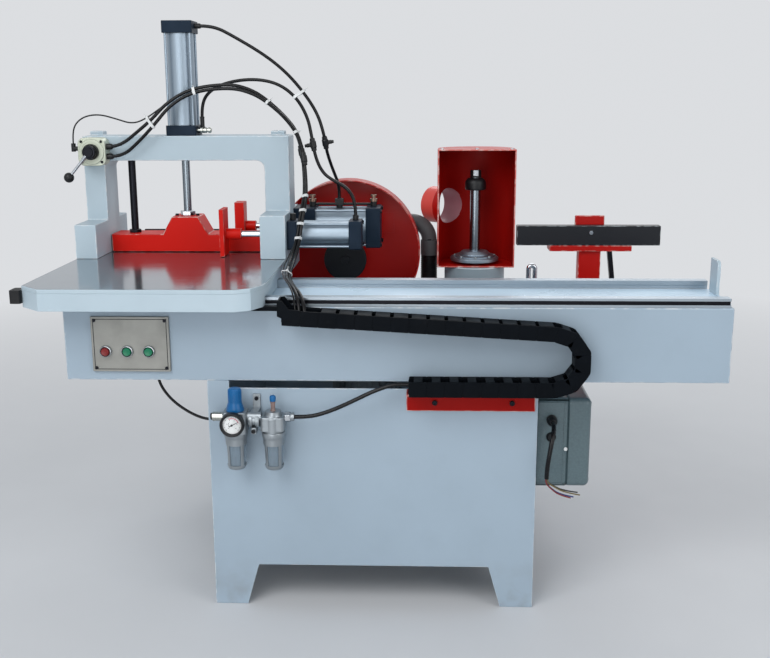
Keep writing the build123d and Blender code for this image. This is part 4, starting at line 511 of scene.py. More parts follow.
def lathe(place, axis, profile, sides, sweep=tau, start=0.0):
    """A turned piece: an outline of radius and height in millimetres, spun round an axis."""
    piece = ring_of([(radius * MM * cos(start), radius * MM * sin(start), rise * MM) for radius, rise in profile])
    edit_points()
    bpy.ops.mesh.spin(steps=sides, angle=sweep, center=ORIGIN, axis=UP)
    bpy.ops.mesh.select_all(action="SELECT")
    bpy.ops.mesh.remove_doubles(threshold=WELD)
    bpy.ops.mesh.delete_loose()
    bpy.ops.mesh.select_all(action="SELECT")
    bpy.ops.mesh.fill_holes(sides=len(profile))
    close_outward()
    piece.matrix_world = Matrix.Translation(place) @ UP.rotation_difference(Vector(axis)).to_matrix().to_4x4()
    return piece


def homed(piece):
    """Moves a piece from the bed's corner to the origin, ready to be copied round an axis."""
    piece.matrix_world = Matrix.Translation(-spot(0, 0, 0)) @ piece.matrix_world
    return piece


def turns(place, axis, count):
    """Places spread evenly round an axis through a point."""
    return [Matrix.Translation(place) @ Matrix.Rotation(tau * step / count, 4, axis) for step in range(count)]


def scatter(master, places):
    """Copies of a piece at several places, each with its own mesh, joined; the piece itself goes."""
    copies = []
    for place in places:
        copy = master.copy()
        copy.data = master.data.copy()
        bpy.context.scene.collection.objects.link(copy)
        where = place if isinstance(place, Matrix) else Matrix.Translation(place)
        copy.matrix_world = where @ master.matrix_world
        copies.append(copy)
    bpy.data.objects.remove(master)
    return join(*copies)


def soften(piece, width=0, segments=2):
    """Rounds the sharp edges, in the second finish if there is one, and evens the shading."""
    pick(piece)
    if width:
        modify(
            piece, "BEVEL", width=width, segments=segments, material=1 if len(piece.data.materials) > 1 else -1,
            limit_method="ANGLE", angle_limit=SHARP, use_clamp_overlap=False, face_strength_mode="FSTR_ALL",
        )
    bpy.ops.object.shade_smooth_by_angle(angle=SMOOTH)
    modify(piece, "WEIGHTED_NORMAL", keep_sharp=True, use_face_influence=bool(width))
    return piece


def turned(place, axis, profile, sides, name, width=0):
    """A turned piece in one finish, with its edges rounded if a width is given."""
    return soften(coat(lathe(place, axis, profile, sides), name), width)


def slab(low, high, width, *names, segments=2):
    """A block with rounded edges; a second finish goes on those edges."""
    return soften(coat(block(low, high), *names), width, segments)


def dress(node, width, *names, segments=2):
    """A merged copy of a frame node with rounded edges; a second finish goes on those edges."""
    piece = bpy.data.objects.new(node + "_dress", frame["nodes"][node].data.copy())
    bpy.context.scene.collection.objects.link(piece)
    pick(piece)
    bpy.ops.mesh.customdata_custom_splitnormals_clear()
    coat(piece, *names)
    edit(piece)
    bpy.ops.mesh.remove_doubles(threshold=10 * WELD)
    bpy.ops.mesh.dissolve_limited(angle_limit=FLAT)
    bpy.ops.mesh.vert_connect_concave()
    close()
    for face in piece.data.polygons:
        face.material_index = 0
    return soften(piece, width, segments)


def belong(piece, node, hides=True):
    """Hands a piece to a node's body, and hides the node if the piece stands for it."""
    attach(piece, BODY_OF[node])
    if hides:
        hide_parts(node)


def settle(piece, name, node, hides=True):
    """Finishes a piece under its own name, in the body of a node."""
    belong(bake(piece, name), node, hides)


def redress(node, name, width, *names, segments=2):
    """Finishes a node that needs only rounded edges and its finishes."""
    settle(dress(node, width, *names, segments=segments), name, node)


def screws(places, axis, radius, height, name="dark steel"):
    """Socket head screws at several places."""
    profile = [(0, 0), (radius, 0), (radius, 0.8 * height), (0.86 * radius, height), (0.56 * radius, height)]
    profile += [(0.52 * radius, 0.4 * height), (0, 0.4 * height)]
    return scatter(turned(ORIGIN, axis, profile, 18, name), places)


def hexagons(places, axis, radius, height, name="dark steel", hole=0.0):
    """Hexagon heads at several places, or nuts with rounded edges if they have a hole."""
    profile = [(hole, 0), (radius, 0), (radius, 0.85 * height), (0.92 * radius, height), (hole, height)]
    made = scatter(coat(lathe(ORIGIN, axis, profile, 6), name), places)
    return soften(made, HAIRLINE) if hole else made


def rib_ring(inner, outer, width, sides, name):
    """A rounded ring round the upright axis, centred on the origin."""
    half, rim = width / 2, (outer - inner) * 0.3
    profile = [(inner, -half), (outer - rim, -half), (outer, -half + rim), (outer, half - rim), (outer - rim, half)]
    return turned(ORIGIN, UP, profile + [(inner, half)], sides, name)


def fins(low, high, width, places):
    """Cooling fins of a motor, copies of one that is modelled beside the bed's corner."""
    return scatter(homed(slab(low, high, width, "motor aluminium")), places)


class SHAPER_OT_cabinet(Operator):
    """Cabinet of folded sheet, with a louvred panel at the back"""

    bl_idname = "shaper.cabinet"
    bl_label = "Cabinet"

    def execute(self, context):
        hues = ("body enamel", "body edge")
        redress("base_cabinet", "cabinet_shell", 0.6 * context.scene.shaper_sizes.sheet_edge, *hues)
        plate = slab((437, 860.2, 140), (1025, 863, 520), 1.2 * MM, *hues)
        slat = [(500, 863, 0), (500, 871, 4), (500, 872, 7), (500, 870, 10), (500, 863, 26)]
        louvre = soften(coat(drawn(slat, (200, 0, 0)), *hues), SLIGHT)
        louvres = scatter(louvre, [Vector((x, 0, z)) * MM for x in (0, 262) for z in range(210, 411, 40)])
        bolts = screws([spot(x, 863, z) for x in (452, 731, 1010) for z in (156, 504)], AWAY, 7, 5)
        settle(join(plate, louvres, bolts), "cabinet_back_panel", "base_cabinet", hides=False)
        return {"FINISHED"}


class SHAPER_OT_bed(Operator):
    """Bed beam with its cover plate, guide rails and end stop"""

    bl_idname = "shaper.bed"
    bl_label = "Bed"

    def rail(self, near, far, low, high, depth, shade):
        """A guide rail with a groove along both sides, its faces in the given shade finish, and plugs in its screw
        holes.
        """
        lip, neck = low + 6.5, low + 15.5
        section = [
            (near, low), (far, low), (far, lip), (far - depth, lip + 0.5), (far - depth, neck - 0.5), (far, neck),
            (far, high), (near, high), (near, neck), (near + depth, neck - 0.5), (near + depth, lip + 0.5), (near, lip),
        ]
        bar = soften(coat(drawn([(8, y, z) for y, z in section], (1554, 0, 0)), "rail steel"), HAIRLINE)

        def in_groove(x, y, z, normal):
            return abs(normal.x) < 0.5 and near + 1 < y < far - 1 and lip - 0.2 < z < neck + 0.2

        # The groove's faces take the shade finish; dark steel there is painted shade in the recess.
        repaint(bar, shade, in_groove)
        plug = [(0, -0.4), (4.6, -0.4), (4.6, 0.05), (4.2, 0.1), (3.6, -0.1), (0, -0.1)]
        plug = coat(lathe(ORIGIN, UP, plug, 20), "turned steel")
        holes = [spot(38 + 60 * step, (near + far) / 2, high) for step in range(25)]
        return join(bar, scatter(plug, holes))

    def execute(self, context):
        sizes = context.scene.shaper_sizes
        beam = slab((0, 0, 580), (1570, 250, 760), sizes.cast_edge, "body enamel", "body edge", segments=3)
        collar = [(3.6, 0), (8, 0), (8, 2.4), (6.4, 4), (3.6, 4)]
        collar = turned(spot(194, 85, 580.5), -UP, collar, 28, "black plastic")
        settle(join(beam, collar), "bed_casting", "bed_beam")
        redress("bed_cover", "bed_cover_plate", sizes.fine_edge, "cover enamel")
        redress("end_stop", "end_stop_plate", 0.6 * sizes.sheet_edge, "light enamel", "light edge")
        depth = sizes.rail_groove / MM
        # Dark steel in the front rail's groove is painted shade; the rear rail's groove keeps the rail steel.
        front = self.rail(2, 32, 760, 782, depth, "dark steel")
        rear = self.rail(210, 240, 760, 787, depth / 4, "rail steel")
        settle(join(front, rear), "grooved_rails", "guide_rails")
        return {"FINISHED"}


class SHAPER_OT_controls(Operator):
    """Button panel, bezels, buttons and the screws on the machine's front"""

    bl_idname = "shaper.controls"
    bl_label = "Controls"
    rise = 653
    buttons = (
        ("stop_button", 101, "stop cap"), ("spindle_button", 152.5, "start cap"), ("saw_button", 204, "start cap"),
    )

    def execute(self, context):
        plate = slab((67, -8, 603), (253, 0, 736), context.scene.shaper_sizes.fine_edge, "panel aluminium", segments=3)
        strips = [coat(strip, "black plastic") for strip in border((72, 608), (248, 731), -8.15, -7.9, 1.8)]
        settle(join(plate, *strips), "panel_plate", "button_panel")
        rim = [(11.4, 0), (14.5, 0), (14.5, 5.2), (14, 7.4), (13.2, 8.6), (12.2, 8.8), (11.4, 8)]
        bezel = turned(ORIGIN, -AWAY, rim, 44, "turned steel")
        throat = turned(ORIGIN, -AWAY, [(9.8, 0), (11.6, 0), (11.6, 7.4), (9.8, 6.6)], 44, "black plastic")
        bezels = scatter(join(bezel, throat), [spot(x, -8, self.rise) for _, x, _ in self.buttons])
        settle(bezels, "bezel_rings", "button_bezels")
        dome = [(0, 0), (9.7, 0), (9.7, 3.9), (9.3, 4.8), (8.7, 5.4), (7.8, 5.5), (6.4, 5.1), (0, 4.7)]
        for node, x, hue in self.buttons:
            settle(turned(spot(x, -14.3, self.rise), -AWAY, dome, 44, hue), node + "_cap", node)
        corners = screws([spot(x, -8, z) for x in (76, 244) for z in (612, 727)], -AWAY, 4, 2.4)
        shelf = screws([spot(x, -5, 530) for x in (880.1, 1063.1)], -AWAY, 6.4, 5)
        bracket = screws([spot(455.25, -5, 538)], -AWAY, 5, 4)
        bar = hexagons([spot(1341, 658, 848)], -AWAY, 6.4, 4, "bright chrome")
        settle(join(corners, shelf, bracket, bar), "front_screws", "machine_screws")
        return {"FINISHED"}


class SHAPER_OT_table(Operator):
    """Sliding table with its skirt, guide blocks, bumper and chain bracket"""

    bl_idname = "shaper.table"
    bl_label = "Table"

    def bracket(self):
        """The bumper at the left, and the arm and cheeks that hold the cable chain's end."""
        stop = drawn([(x, y, 777) for x, y in rounded(-100, -73.5, -63, -23, 6)], (0, 0, 31))
        cheek = [(519, 752), (557, 733.6), (572, 733), (572, 766), (546, 768), (531, 788), (519, 788)]
        cheeks = [drawn([(x, y, z) for x, z in cheek], (0, 3.6, 0)) for y in (-72.4, -20.2)]
        arm = block((440, -36, 757), (526, -17, 767.2))
        wall = block((519, -72, 752), (523, -17, 788))
        held = soften(coat(join(*cheeks, arm, wall), "chain plastic"), SLIGHT)
        return join(held, soften(coat(stop, "duct rubber"), SLIGHT))

    def execute(self, context):
        edge = context.scene.shaper_sizes.fine_edge
        top = dress("table_top", edge, "light enamel", segments=3)
        repaint(top, "table steel", lambda x, y, z, normal: normal.z > 0.9 and z > 817.5)
        settle(top, "table_plate", "table_top")
        redress("table_skirt", "table_casting", 0.5 * edge, "light enamel")
        redress("guide_blocks", "rail_carriages", edge, "rail steel")
        settle(self.bracket(), "bumper_and_bracket", "table_brackets")
        end = [(-22, 767.2), (0.5, 767.2), (0.5, 783.5), (33.5, 783.5), (33.5, 767.2), (208.5, 767.2)]
        end += [(208.5, 788.5), (241.5, 788.5), (241.5, 767.2), (272, 767.2), (272, 793), (-22, 793)]
        ends = join(*[drawn([(x, y, z) for y, z in end], (6, 0, 0)) for x in (-68, 476)])
        settle(soften(coat(ends, "light enamel"), HAIRLINE), "skirt_end_plates", "table_skirt", hides=False)
        # A dark steel strip along the table's back edge, behind the press bar.
        strip = slab((45, 596, 818), (262, 606, 865), MM, "dark steel")
        settle(strip, "back_rest_strip", "table_top", hides=False)
        return {"FINISHED"}


class SHAPER_OT_gantry(Operator):
    """Clamp frame over the table"""

    bl_idname = "shaper.gantry"
    bl_label = "Clamp frame"

    def execute(self, context):
        redress("clamp_gantry", "clamp_frame", context.scene.shaper_sizes.cast_edge, "light enamel", "light edge")
        return {"FINISHED"}


class SHAPER_OT_cylinders(Operator):
    """Three air cylinders: caps, screws, barrels and tie rods"""

    bl_idname = "shaper.cylinders"
    bl_label = "Air cylinders"

    def execute(self, context):
        caps = dress("cylinder_caps", 2 * context.scene.shaper_sizes.fine_edge, "navy anodised", segments=3)
        upright = [spot(194 + x, 508 + y, 1430.6) for x in (-32, 32) for y in (-32, 32)]
        front = [spot(686.4, 405 + y, 877 + z) for y in (-29, 29) for z in (-29, 29)]
        rear = [spot(730.4, 580 + y, 877 + z) for y in (-47, 47) for z in (-47, 47)]
        upright = screws(upright, UP, 6, 6.3, "turned steel")
        front, rear = hexagons(front, RIGHT, 5, 4), hexagons(rear, RIGHT, 6, 5)
        puff = [(0, -3), (4, -3), (4, 8), (7.6, 9), (7.6, 15), (5, 16), (5, 19), (7.6, 20), (7.6, 26), (5, 27), (5, 30)]
        puff += [(7.6, 31), (7.6, 37), (5, 39), (0, 39)]
        silencer = turned(spot(235, 486, 1150), RIGHT, puff, 18, "nickel")
        settle(join(caps, upright, front, rear, silencer), "cylinder_end_caps", "cylinder_caps")
        barrels = dress("cylinder_barrels", 0, "barrel lying")
        repaint(barrels, "barrel upright", lambda x, y, z, normal: z > 1000)
        settle(barrels, "cylinder_tubes", "cylinder_barrels")
        return {"FINISHED"}


class SHAPER_OT_clamp(Operator):
    """Press bar with its rod and guide bar, and the two side pushers"""

    bl_idname = "shaper.clamp"
    bl_label = "Clamp and pushers"

    def execute(self, context):
        sizes = context.scene.shaper_sizes
        # The press bar and pushers take the lit copy of the red: painted light.
        bar = dress("press_bar", 0.8 * sizes.cast_edge, "bright red", "red edge")
        bolts = screws([spot(223, 500, 916), spot(165, 500, 916)], UP, 5, 5)
        settle(join(bar, bolts), "press_foot", "press_bar")
        rod = dress("clamp_rod", 0.5 * sizes.fine_edge, "ground steel")
        nut = hexagons([spot(194, 508, 916)], UP, 21, 13, "turned steel", 11)
        settle(join(rod, nut), "clamp_piston_rod", "clamp_rod")
        guide = dress("guide_bar", 0.5 * sizes.fine_edge, "dark steel")
        foot = hexagons([spot(43, 508, 868)], UP, 17, 9, "dark steel", 10)
        settle(join(guide, foot), "clamp_guide", "guide_bar")
        for node, name, seam in (("front_pusher", "front_push_plate", 361), ("rear_pusher", "rear_push_plate", 373)):
            plate = dress(node, 0.7 * sizes.fine_edge, "bright red", "red edge")
            repaint(plate, "bright chrome", lambda x, y, z, normal: x > seam + 0.5)
            settle(plate, name, node)
        return {"FINISHED"}


class SHAPER_OT_valve(Operator):
    """Hand valve with its lever"""

    bl_idname = "shaper.valve"
    bl_label = "Hand valve"
    x, z, lean = -37, 1096, radians(229)

    def execute(self, context):
        outline = [(x, 412, z) for x, z in rounded(-74, 0, 1059, 1133, 17, 6)]
        body = soften(coat(drawn(outline, (0, 43, 0)), "cream aluminium"), 1.6 * MM, 3)
        collar = [(0, 0), (34, 0), (34, 1.4), (32.4, 3), (27, 3.2), (27, 2), (0, 2)]
        collar = turned(spot(self.x, 412.4, self.z), -AWAY, collar, 48, "cream aluminium")
        boss = [(0, 0), (21, 0), (21, 12), (19.4, 14.2), (0, 14.2)]
        boss = turned(spot(self.x, 411, self.z), -AWAY, boss, 40, "black plastic")
        corners = screws([spot(x, 412, z) for x in (-64, -10) for z in (1069, 1123)], -AWAY, 3.6, 2)
        settle(join(body, collar, boss, corners), "hand_valve_body", "hand_valve")
        rotor = [(0, 0), (18, 0), (18, 9), (16.5, 11), (13, 11.6), (12, 14), (0, 14)]
        rotor = turned(spot(self.x, 395.7, self.z), -AWAY, rotor, 36, "dark steel")
        start, heading = spot(self.x, 388.7, self.z), Vector((cos(self.lean), 0, sin(self.lean)))
        arm = [(0, 10), (5.6, 10), (5.6, 24), (4, 28), (4, 78), (0, 78)]
        arm = turned(start, heading, arm, 20, "bright chrome")
        arc = [(13.5 * sin(pi * step / 12), 88 - 13.5 * cos(pi * step / 12)) for step in range(13)]
        ball = turned(start, heading, arc, 28, "black plastic")
        settle(join(rotor, arm, ball), "valve_lever_arm", "valve_lever")
        return {"FINISHED"}


ROUTES = {
    "upper_hose": [
        (14, 428, 1109), (40, 428, 1113), (82, 427, 1145), (126, 427, 1180), (168, 430, 1224), (232, 439, 1261),
        (336, 445, 1273), (396, 445, 1256), (437, 440, 1229), (480, 435, 1190), (514, 429, 1145), (531, 415, 1082),
        (537, 386, 986), (529, 356, 944), (524, 344, 906), (518, 326, 866), (509, 284, 832), (508, 205, 815),
        (516, 124, 812), (532, 58, 806), (549, 14, 799), (560, -18, 785), (566, -38, 762), (568, -46, 740),
    ],
    "lower_hose": [
        (14, 428, 1083), (44, 428, 1085), (86, 424, 1119), (132, 420, 1164), (176, 424, 1216), (239, 433, 1253),
        (340, 438, 1263), (399, 437, 1247), (441, 431, 1221), (485, 426, 1183), (519, 419, 1137), (536, 405, 1077),
        (543, 376, 981), (536, 347, 939), (531, 335, 901), (526, 318, 861), (518, 276, 827), (517, 198, 810),
        (525, 118, 806), (542, 52, 800), (563, 6, 791), (574, -26, 777), (580, -46, 754), (582, -53, 734),
    ],
    "thin_hose": [
        (-90, 428, 1118), (-90, 428, 1146), (-80, 430, 1172), (-54, 433, 1190), (-15, 435, 1194), (28, 436, 1182),
        (72, 436, 1168), (112, 437, 1184), (160, 436, 1218), (227, 447, 1260), (337, 452, 1272), (398, 452, 1256),
        (440, 447, 1229), (483, 442, 1190), (517, 436, 1148), (535, 422, 1086), (542, 393, 993), (538, 368, 950),
        (528, 356, 913), (518, 342, 874), (504, 300, 838), (499, 256, 826), (499, 206, 819), (503, 156, 816),
        (511, 109, 814), (523, 62, 811), (539, 20, 804), (550, -14, 790), (556, -34, 767), (558, -42, 741),
    ],
    "top_port_hose": [
        (249, 508, 1424.2), (286, 508, 1424.2), (340, 504, 1397), (424, 496, 1348), (482, 490, 1302),
        (528, 484, 1250), (565, 478, 1194), (582, 476, 1138), (587, 492, 1092), (596, 520, 1054), (603, 552, 1026),
        (613, 580, 992), (613, 580, 955),
    ],
    "base_port_hose": [
        (245, 508, 1183.5), (245, 508, 1215.5), (264, 501, 1250), (310, 490, 1274), (385, 480, 1286),
        (456, 474, 1276), (508, 466, 1240), (540, 460, 1186), (551, 457, 1130), (560, 455, 1076), (580, 448, 1036),
        (612, 434, 1016), (648, 415, 1000), (670, 405, 964), (670, 405, 927),
    ],
    "air_feed": [
        (550, -45, 505), (578, -45, 505), (614, -44, 512), (656, -45, 529), (698, -46, 550), (738, -46, 570),
        (774, -45, 583), (793, -44.5, 586), (820.4, -44.5, 586),
    ],
    "control_lead": [
        (194, 85, 580), (198, 85, 556), (209, 86, 530), (229, 87, 504), (255, 88, 482), (285, 89, 464),
        (313, 90, 454), (342, 90, 452),
    ],
    "supply_lead": [
        (1166, 34, 469), (1166, 12, 469), (1162, -13, 457), (1155, -30, 432), (1150, -34, 402), (1147, -32, 375),
        (1147, -29, 351),
    ],
}
CORDS = (
    ("upper_hose", 9, "table_hoses", 1.318), ("lower_hose", 9, "table_hoses", 1.326),
    ("thin_hose", 4, "table_hoses", 1.484), ("top_port_hose", 9, "table_hoses", 0.683),
    ("base_port_hose", 9, "table_hoses", 0.713), ("air_feed", 10, "air_feed_hose", 0.286),
    ("control_lead", 7, "control_cable", 0.224), ("supply_lead", 11, "supply_cable", 0.162),
)
CORES = (
    ("core red", 0.082, (-1.8, -0.8, -1.9, 60, -46)), ("core yellow", 0.095, (1.8, 0.8, -1.9, 78, -40)),
    ("core blue", 0.090, (-1.8, -0.8, 1.9, 68, -48)), ("black plastic", 0.090, (1.8, 0.8, 1.9, 74, -38)),
)


def core_route(side, rise, depth, reach, drop):
    """Control points of one bared core, which fans out of the supply lead's end."""
    end, before = Vector(ROUTES["supply_lead"][-1]), Vector(ROUTES["supply_lead"][-2])
    start = end + Vector((side, depth, rise))
    first = start + 11 * (end - before).normalized()
    return [
        start, first, (start.x + 0.2 * reach, first.y, start.z + 0.52 * drop),
        (start.x + 0.52 * reach, first.y + depth, start.z + 0.86 * drop),
        (start.x + reach, first.y + 2 * depth, start.z + drop),
    ]


def line_of(name, points):
    """A smooth open curve with these points as its control points."""
    curve = bpy.data.curves.new(name, "CURVE")
    curve.dimensions = "3D"
    spline = curve.splines.new("NURBS")
    spline.points.add(len(points) - 1)
    for knot, point in zip(spline.points, points):
        knot.co = (*spot(*point), 1)
    spline.order_u = 3
    spline.use_endpoint_u = True
    spline.resolution_u = 6
    piece = bpy.data.objects.new(name, curve)
    bpy.context.scene.collection.objects.link(piece)
    return piece


def cord(name, points, diameter, hue, node):
    """A hose or lead that stands for its node; those of the supply end bare and hang."""
    piece = line_of(name, points)
    piece.data.bevel_depth = diameter / 2 * MM
    piece.data.bevel_resolution = 4
    piece.data.use_fill_caps = True
    piece.data.materials.append(finish(hue))
    belong(piece, node)


def nearest(name, place):
    """The point of a hose's own smooth line that is nearest to a place, and the heading there."""
    bare = line_of("bare_line", ROUTES[name])
    mesh = bpy.data.meshes.new_from_object(bare)
    points = [vertex.co.copy() for vertex in mesh.vertices]
    bpy.data.objects.remove(bare)
    bpy.data.meshes.remove(mesh)
    at = min(range(1, len(points) - 1), key=lambda step: (points[step] - place).length)
    return points[at], (points[at + 1] - points[at - 1]).normalized()


class SHAPER_OT_hoses(Operator):
    """Air hoses, leads and the ties that bind them"""

    bl_idname = "shaper.hoses"
    bl_label = "Hoses and leads"
    valve_hoses = (("upper_hose", 4.5), ("lower_hose", 4.5), ("thin_hose", 2))
    port_hoses = (("top_port_hose", 4.5), ("base_port_hose", 4.5))
    valve_ties = (
        (120, 427, 1174), (239, 438, 1256), (440, 440, 1226), (510, 429, 1147), (535, 379, 978), (530, 359, 946),
        (525, 346, 912), (519, 328, 873), (512, 161, 813),
    )
    port_tie = (519, 476, 1246)
    gather = 27 * MM
    inlines = (
        ("top_port_hose", (578, 477, 1116), 1), ("base_port_hose", (554, 457, 1108), -1),
        ("upper_hose", (528, 416, 1090), 0), ("lower_hose", (534, 407, 1082), 0),
    )

    def tie(self, place, width, hoses):
        """A strap drawn tight round the hoses that pass a place, with its head and tail."""
        near = [(*nearest(name, spot(*place)), radius) for name, radius in hoses]
        near = [row for row in near if (row[0] - spot(*place)).length < self.gather]
        middle = sum((point for point, _, _ in near), Vector()) / len(near)
        heading = sum((way for _, way, _ in near), Vector()).normalized()
        side = heading.cross(UP).normalized()
        lift = side.cross(heading)
        rims = []
        for point, _, radius in near:
            for angle in (tau * step / 16 for step in range(16)):
                rim = point - middle + (radius + 0.3) * MM * (cos(angle) * side + sin(angle) * lift)
                rims.append((rim.dot(side), rim.dot(lift)))
        hull = [Vector(rims[index]) for index in convex_hull_2d(rims)]
        strap = ring_of([middle + spread.x * side + spread.y * lift - heading * width / 2 for spread in hull])
        edit_points()
        bpy.ops.mesh.extrude_region_move(TRANSFORM_OT_translate={"value": heading * width})
        close_outward()
        modify(strap, "SOLIDIFY", thickness=1.2 * MM, offset=1)
        knot = max(hull, key=lambda spread: spread.y - 0.4 * spread.x)
        knot = middle + knot.x * side + knot.y * lift
        out = (knot - middle).normalized()
        head = lathe(knot + out * 0.4 * MM, out, [(0, 0), (3.4, 0), (3.4, 3), (2.6, 3.8), (0, 3.8)], 4)
        tail = lathe(knot + out * 3 * MM, (out + lift).normalized(), [(0, 0), (0.9, 0), (0.9, 9), (0, 9)], 4)
        return join(strap, head, tail)

    def inline(self, name, place, side):
        """A black flow fitting in a hose, with its adjusting screw to one side, or a plain sleeve."""
        point, heading = nearest(name, spot(*place))
        shell = [(4.4, -17), (6.6, -17), (7.2, -16), (7.2, -10), (8.8, -8)]
        shell += [(radius, -rise) for radius, rise in reversed(shell)]
        pieces = [turned(point, heading, shell, 28, "black plastic")]
        if side:
            aside = side * heading.cross(AWAY).normalized()
            knob = [(0, 0), (5.4, 0), (5.4, 10), (4.4, 11), (4.4, 15), (3.6, 16), (0, 16)]
            pieces.append(turned(point + 7 * MM * aside, aside, knob, 20, "black plastic"))
        return join(*pieces)

    def execute(self, context):
        for name, diameter, node, reach in CORDS:
            cord(name, ROUTES[name], diameter, "hose rubber", node)
        for number, (hue, reach, lay) in enumerate(CORES, 1):
            cord("supply_core_%d" % number, core_route(*lay), 3.2, hue, "supply_cable")
        width = context.scene.shaper_sizes.tie_width
        straps = [self.tie(place, width, self.valve_hoses) for place in self.valve_ties]
        straps.append(self.tie(self.port_tie, width, self.port_hoses))
        straps = soften(coat(join(*straps), "tie white"))
        settle(join(*[self.inline(*row) for row in self.inlines]), "inline_flow_fittings", "table_hoses", hides=False)
        settle(straps, "cable_ties", "table_hoses", hides=False)
        return {"FINISHED"}


class SHAPER_OT_fittings(Operator):
    """Push-in fittings and speed controllers on cylinders and valve"""

    bl_idname = "shaper.fittings"
    bl_label = "Air fittings"
    ports_up = ((613, 580, 955), (670, 405, 927), (245, 508, 1183.5))
    ports_aside = ((14, 428, 1109), (14, 428, 1083), (249, 508, 1424.2))
    speed_screws = (537, 710.5)

    def is_brass(self, x, y, z, normal):
        """Tells the two speed controllers from the plain fittings."""
        return y > 540 and z > 946.5 and min(abs(x - middle) for middle in self.speed_screws) < 14

    def execute(self, context):
        fittings = repaint(dress("air_fittings", HAIRLINE, "black plastic"), "turned brass", self.is_brass)
        knurl = turned(ORIGIN, UP, [(0, 0), (8.4, 0), (8.4, 5.4), (7.6, 6), (0, 6)], 14, "turned brass")
        collar = turned(ORIGIN, UP, [(4.6, 0), (6.8, 0), (6.8, 1.6), (5.8, 2.4), (4.6, 2.4)], 26, "black plastic")
        rings = [Matrix.Translation(spot(*place)) for place in self.ports_up]
        rings += [Matrix.Translation(spot(*place)) @ Matrix.Rotation(pi / 2, 4, "Y") for place in self.ports_aside]
        knurls = scatter(knurl, [spot(x, 580, 961) for x in self.speed_screws])
        settle(join(fittings, knurls, scatter(collar, rings)), "push_in_fittings", "air_fittings")
        return {"FINISHED"}


class SHAPER_OT_chain(Operator):
    """Cable chain in its runs and bend, and the shelf it lies on"""

    bl_idname = "shaper.chain"
    bl_label = "Cable chain"
    pitch, bend, middle = 41.5, 66.05, -44.5
    low, bend_start, high, lean = 580, 1153, 712.1, -36.4 / 622.5
    tray_start, tray_middle, lower_links, bend_links, upper_links, free_links = 821, 987, 8, 5, 15, 12
    narrow_lid, wide_lid = 10.0, 16.5

    def link(self, lidded=True, slim=0.0, lid=narrow_lid):
        """One link at the origin: outer and inner side plates, cross bars and pins."""
        half, tall = 27.5 - slim, 18 - slim
        cheek = rounded(-22.6, 18.8, -tall, tall, 2.4, 3)
        tongue = rounded(-24, 22, 2.5 - tall, tall - 2.5, 7, 3)
        pin = [(0, 0), (7.5, 0), (7.5, 0.5), (6.8, 0.8), (0, 0.8)]
        knee = [(0, 0), (tall - 0.3, 0), (tall - 0.3, 3), (0, 3)]
        parts = []
        for side in (-1, 1):
            parts.append(drawn([(x, side * half, z) for x, z in cheek], (0, -3.6 * side, 0)))
            parts.append(drawn([(x, side * (half - 2.2), z) for x, z in tongue], (0, -4.2 * side, 0)))
            parts.append(lathe(spot(-9, side * (half - 0.9), 0), side * AWAY, pin, 18))
            parts.append(lathe(spot(20.9, side * (half - 3.7), 0), side * AWAY, knee, 32))
        for side in (-1, 1) if lidded else (-1,):
            low, high = sorted((side * (tall + 0.8 * (side > 0) - 0.4), side * (tall - 4)))
            parts.append(block((-1 - lid, 5 - half, low), (lid - 1, half - 5, high)))
        return homed(soften(coat(join(*parts), "chain plastic"), SLIGHT))

    def pose(self, x, z, lean):
        """Place of a link in the chain's plane, leaning by an angle."""
        return Matrix.Translation(spot(x, self.middle, z)) @ Matrix.Rotation(-lean, 4, "Y")

    def lower(self, slim):
        """The lower run."""
        middles = [self.tray_start + self.pitch * (step + 0.5) for step in range(self.lower_links)]
        return scatter(self.link(slim=slim), [self.pose(x, self.low, 0) for x in middles])

    def execute(self, context):
        settle(self.lower(0), "chain_lower_links", "chain_lower_run")
        half = bake(self.lower(1.2), "chain_lower_half")
        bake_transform(half)
        far = bake(self.lower(0.6), "chain_lower_far")
        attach(far, "chain_bend")
        bends = []
        for step in range(self.bend_links):
            angle = pi / self.bend_links * (step + 0.5) - pi / 2
            reach = self.bend * cos(pi / 2 / self.bend_links)
            x, z = self.bend_start + reach * cos(angle), self.low + self.bend + reach * sin(angle)
            bends.append(self.pose(x, z, angle + pi / 2))
        settle(scatter(self.link(), bends), "chain_bend_links", "chain_bend")
        run = []
        for step in range(self.upper_links):
            reach = self.pitch * (step + 0.5)
            x, z = self.bend_start - reach * cos(self.lean), self.high - reach * sin(self.lean)
            run.append(self.pose(x, z, self.lean))
        free, first, bare = run[: self.free_links], run[self.free_links], run[self.free_links + 1 :]
        held = join(scatter(self.link(lid=self.wide_lid), [first]), scatter(self.link(lidded=False), bare))
        settle(held, "chain_table_links", "chain_upper_run")
        rest = bake(scatter(self.link(slim=0.5, lid=self.wide_lid), free), "chain_upper_links")
        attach(rest, "chain_bend")
        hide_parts("chain_upper_run")
        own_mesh(rest)
        # The tray under the chain takes the darker red as painted shade, and its rounded edges take the pale edge
        # finish as a painted highlight.
        redress("chain_shelf", "chain_tray", 1.6 * MM, "inner red", "hood edge")
        return {"FINISHED"}


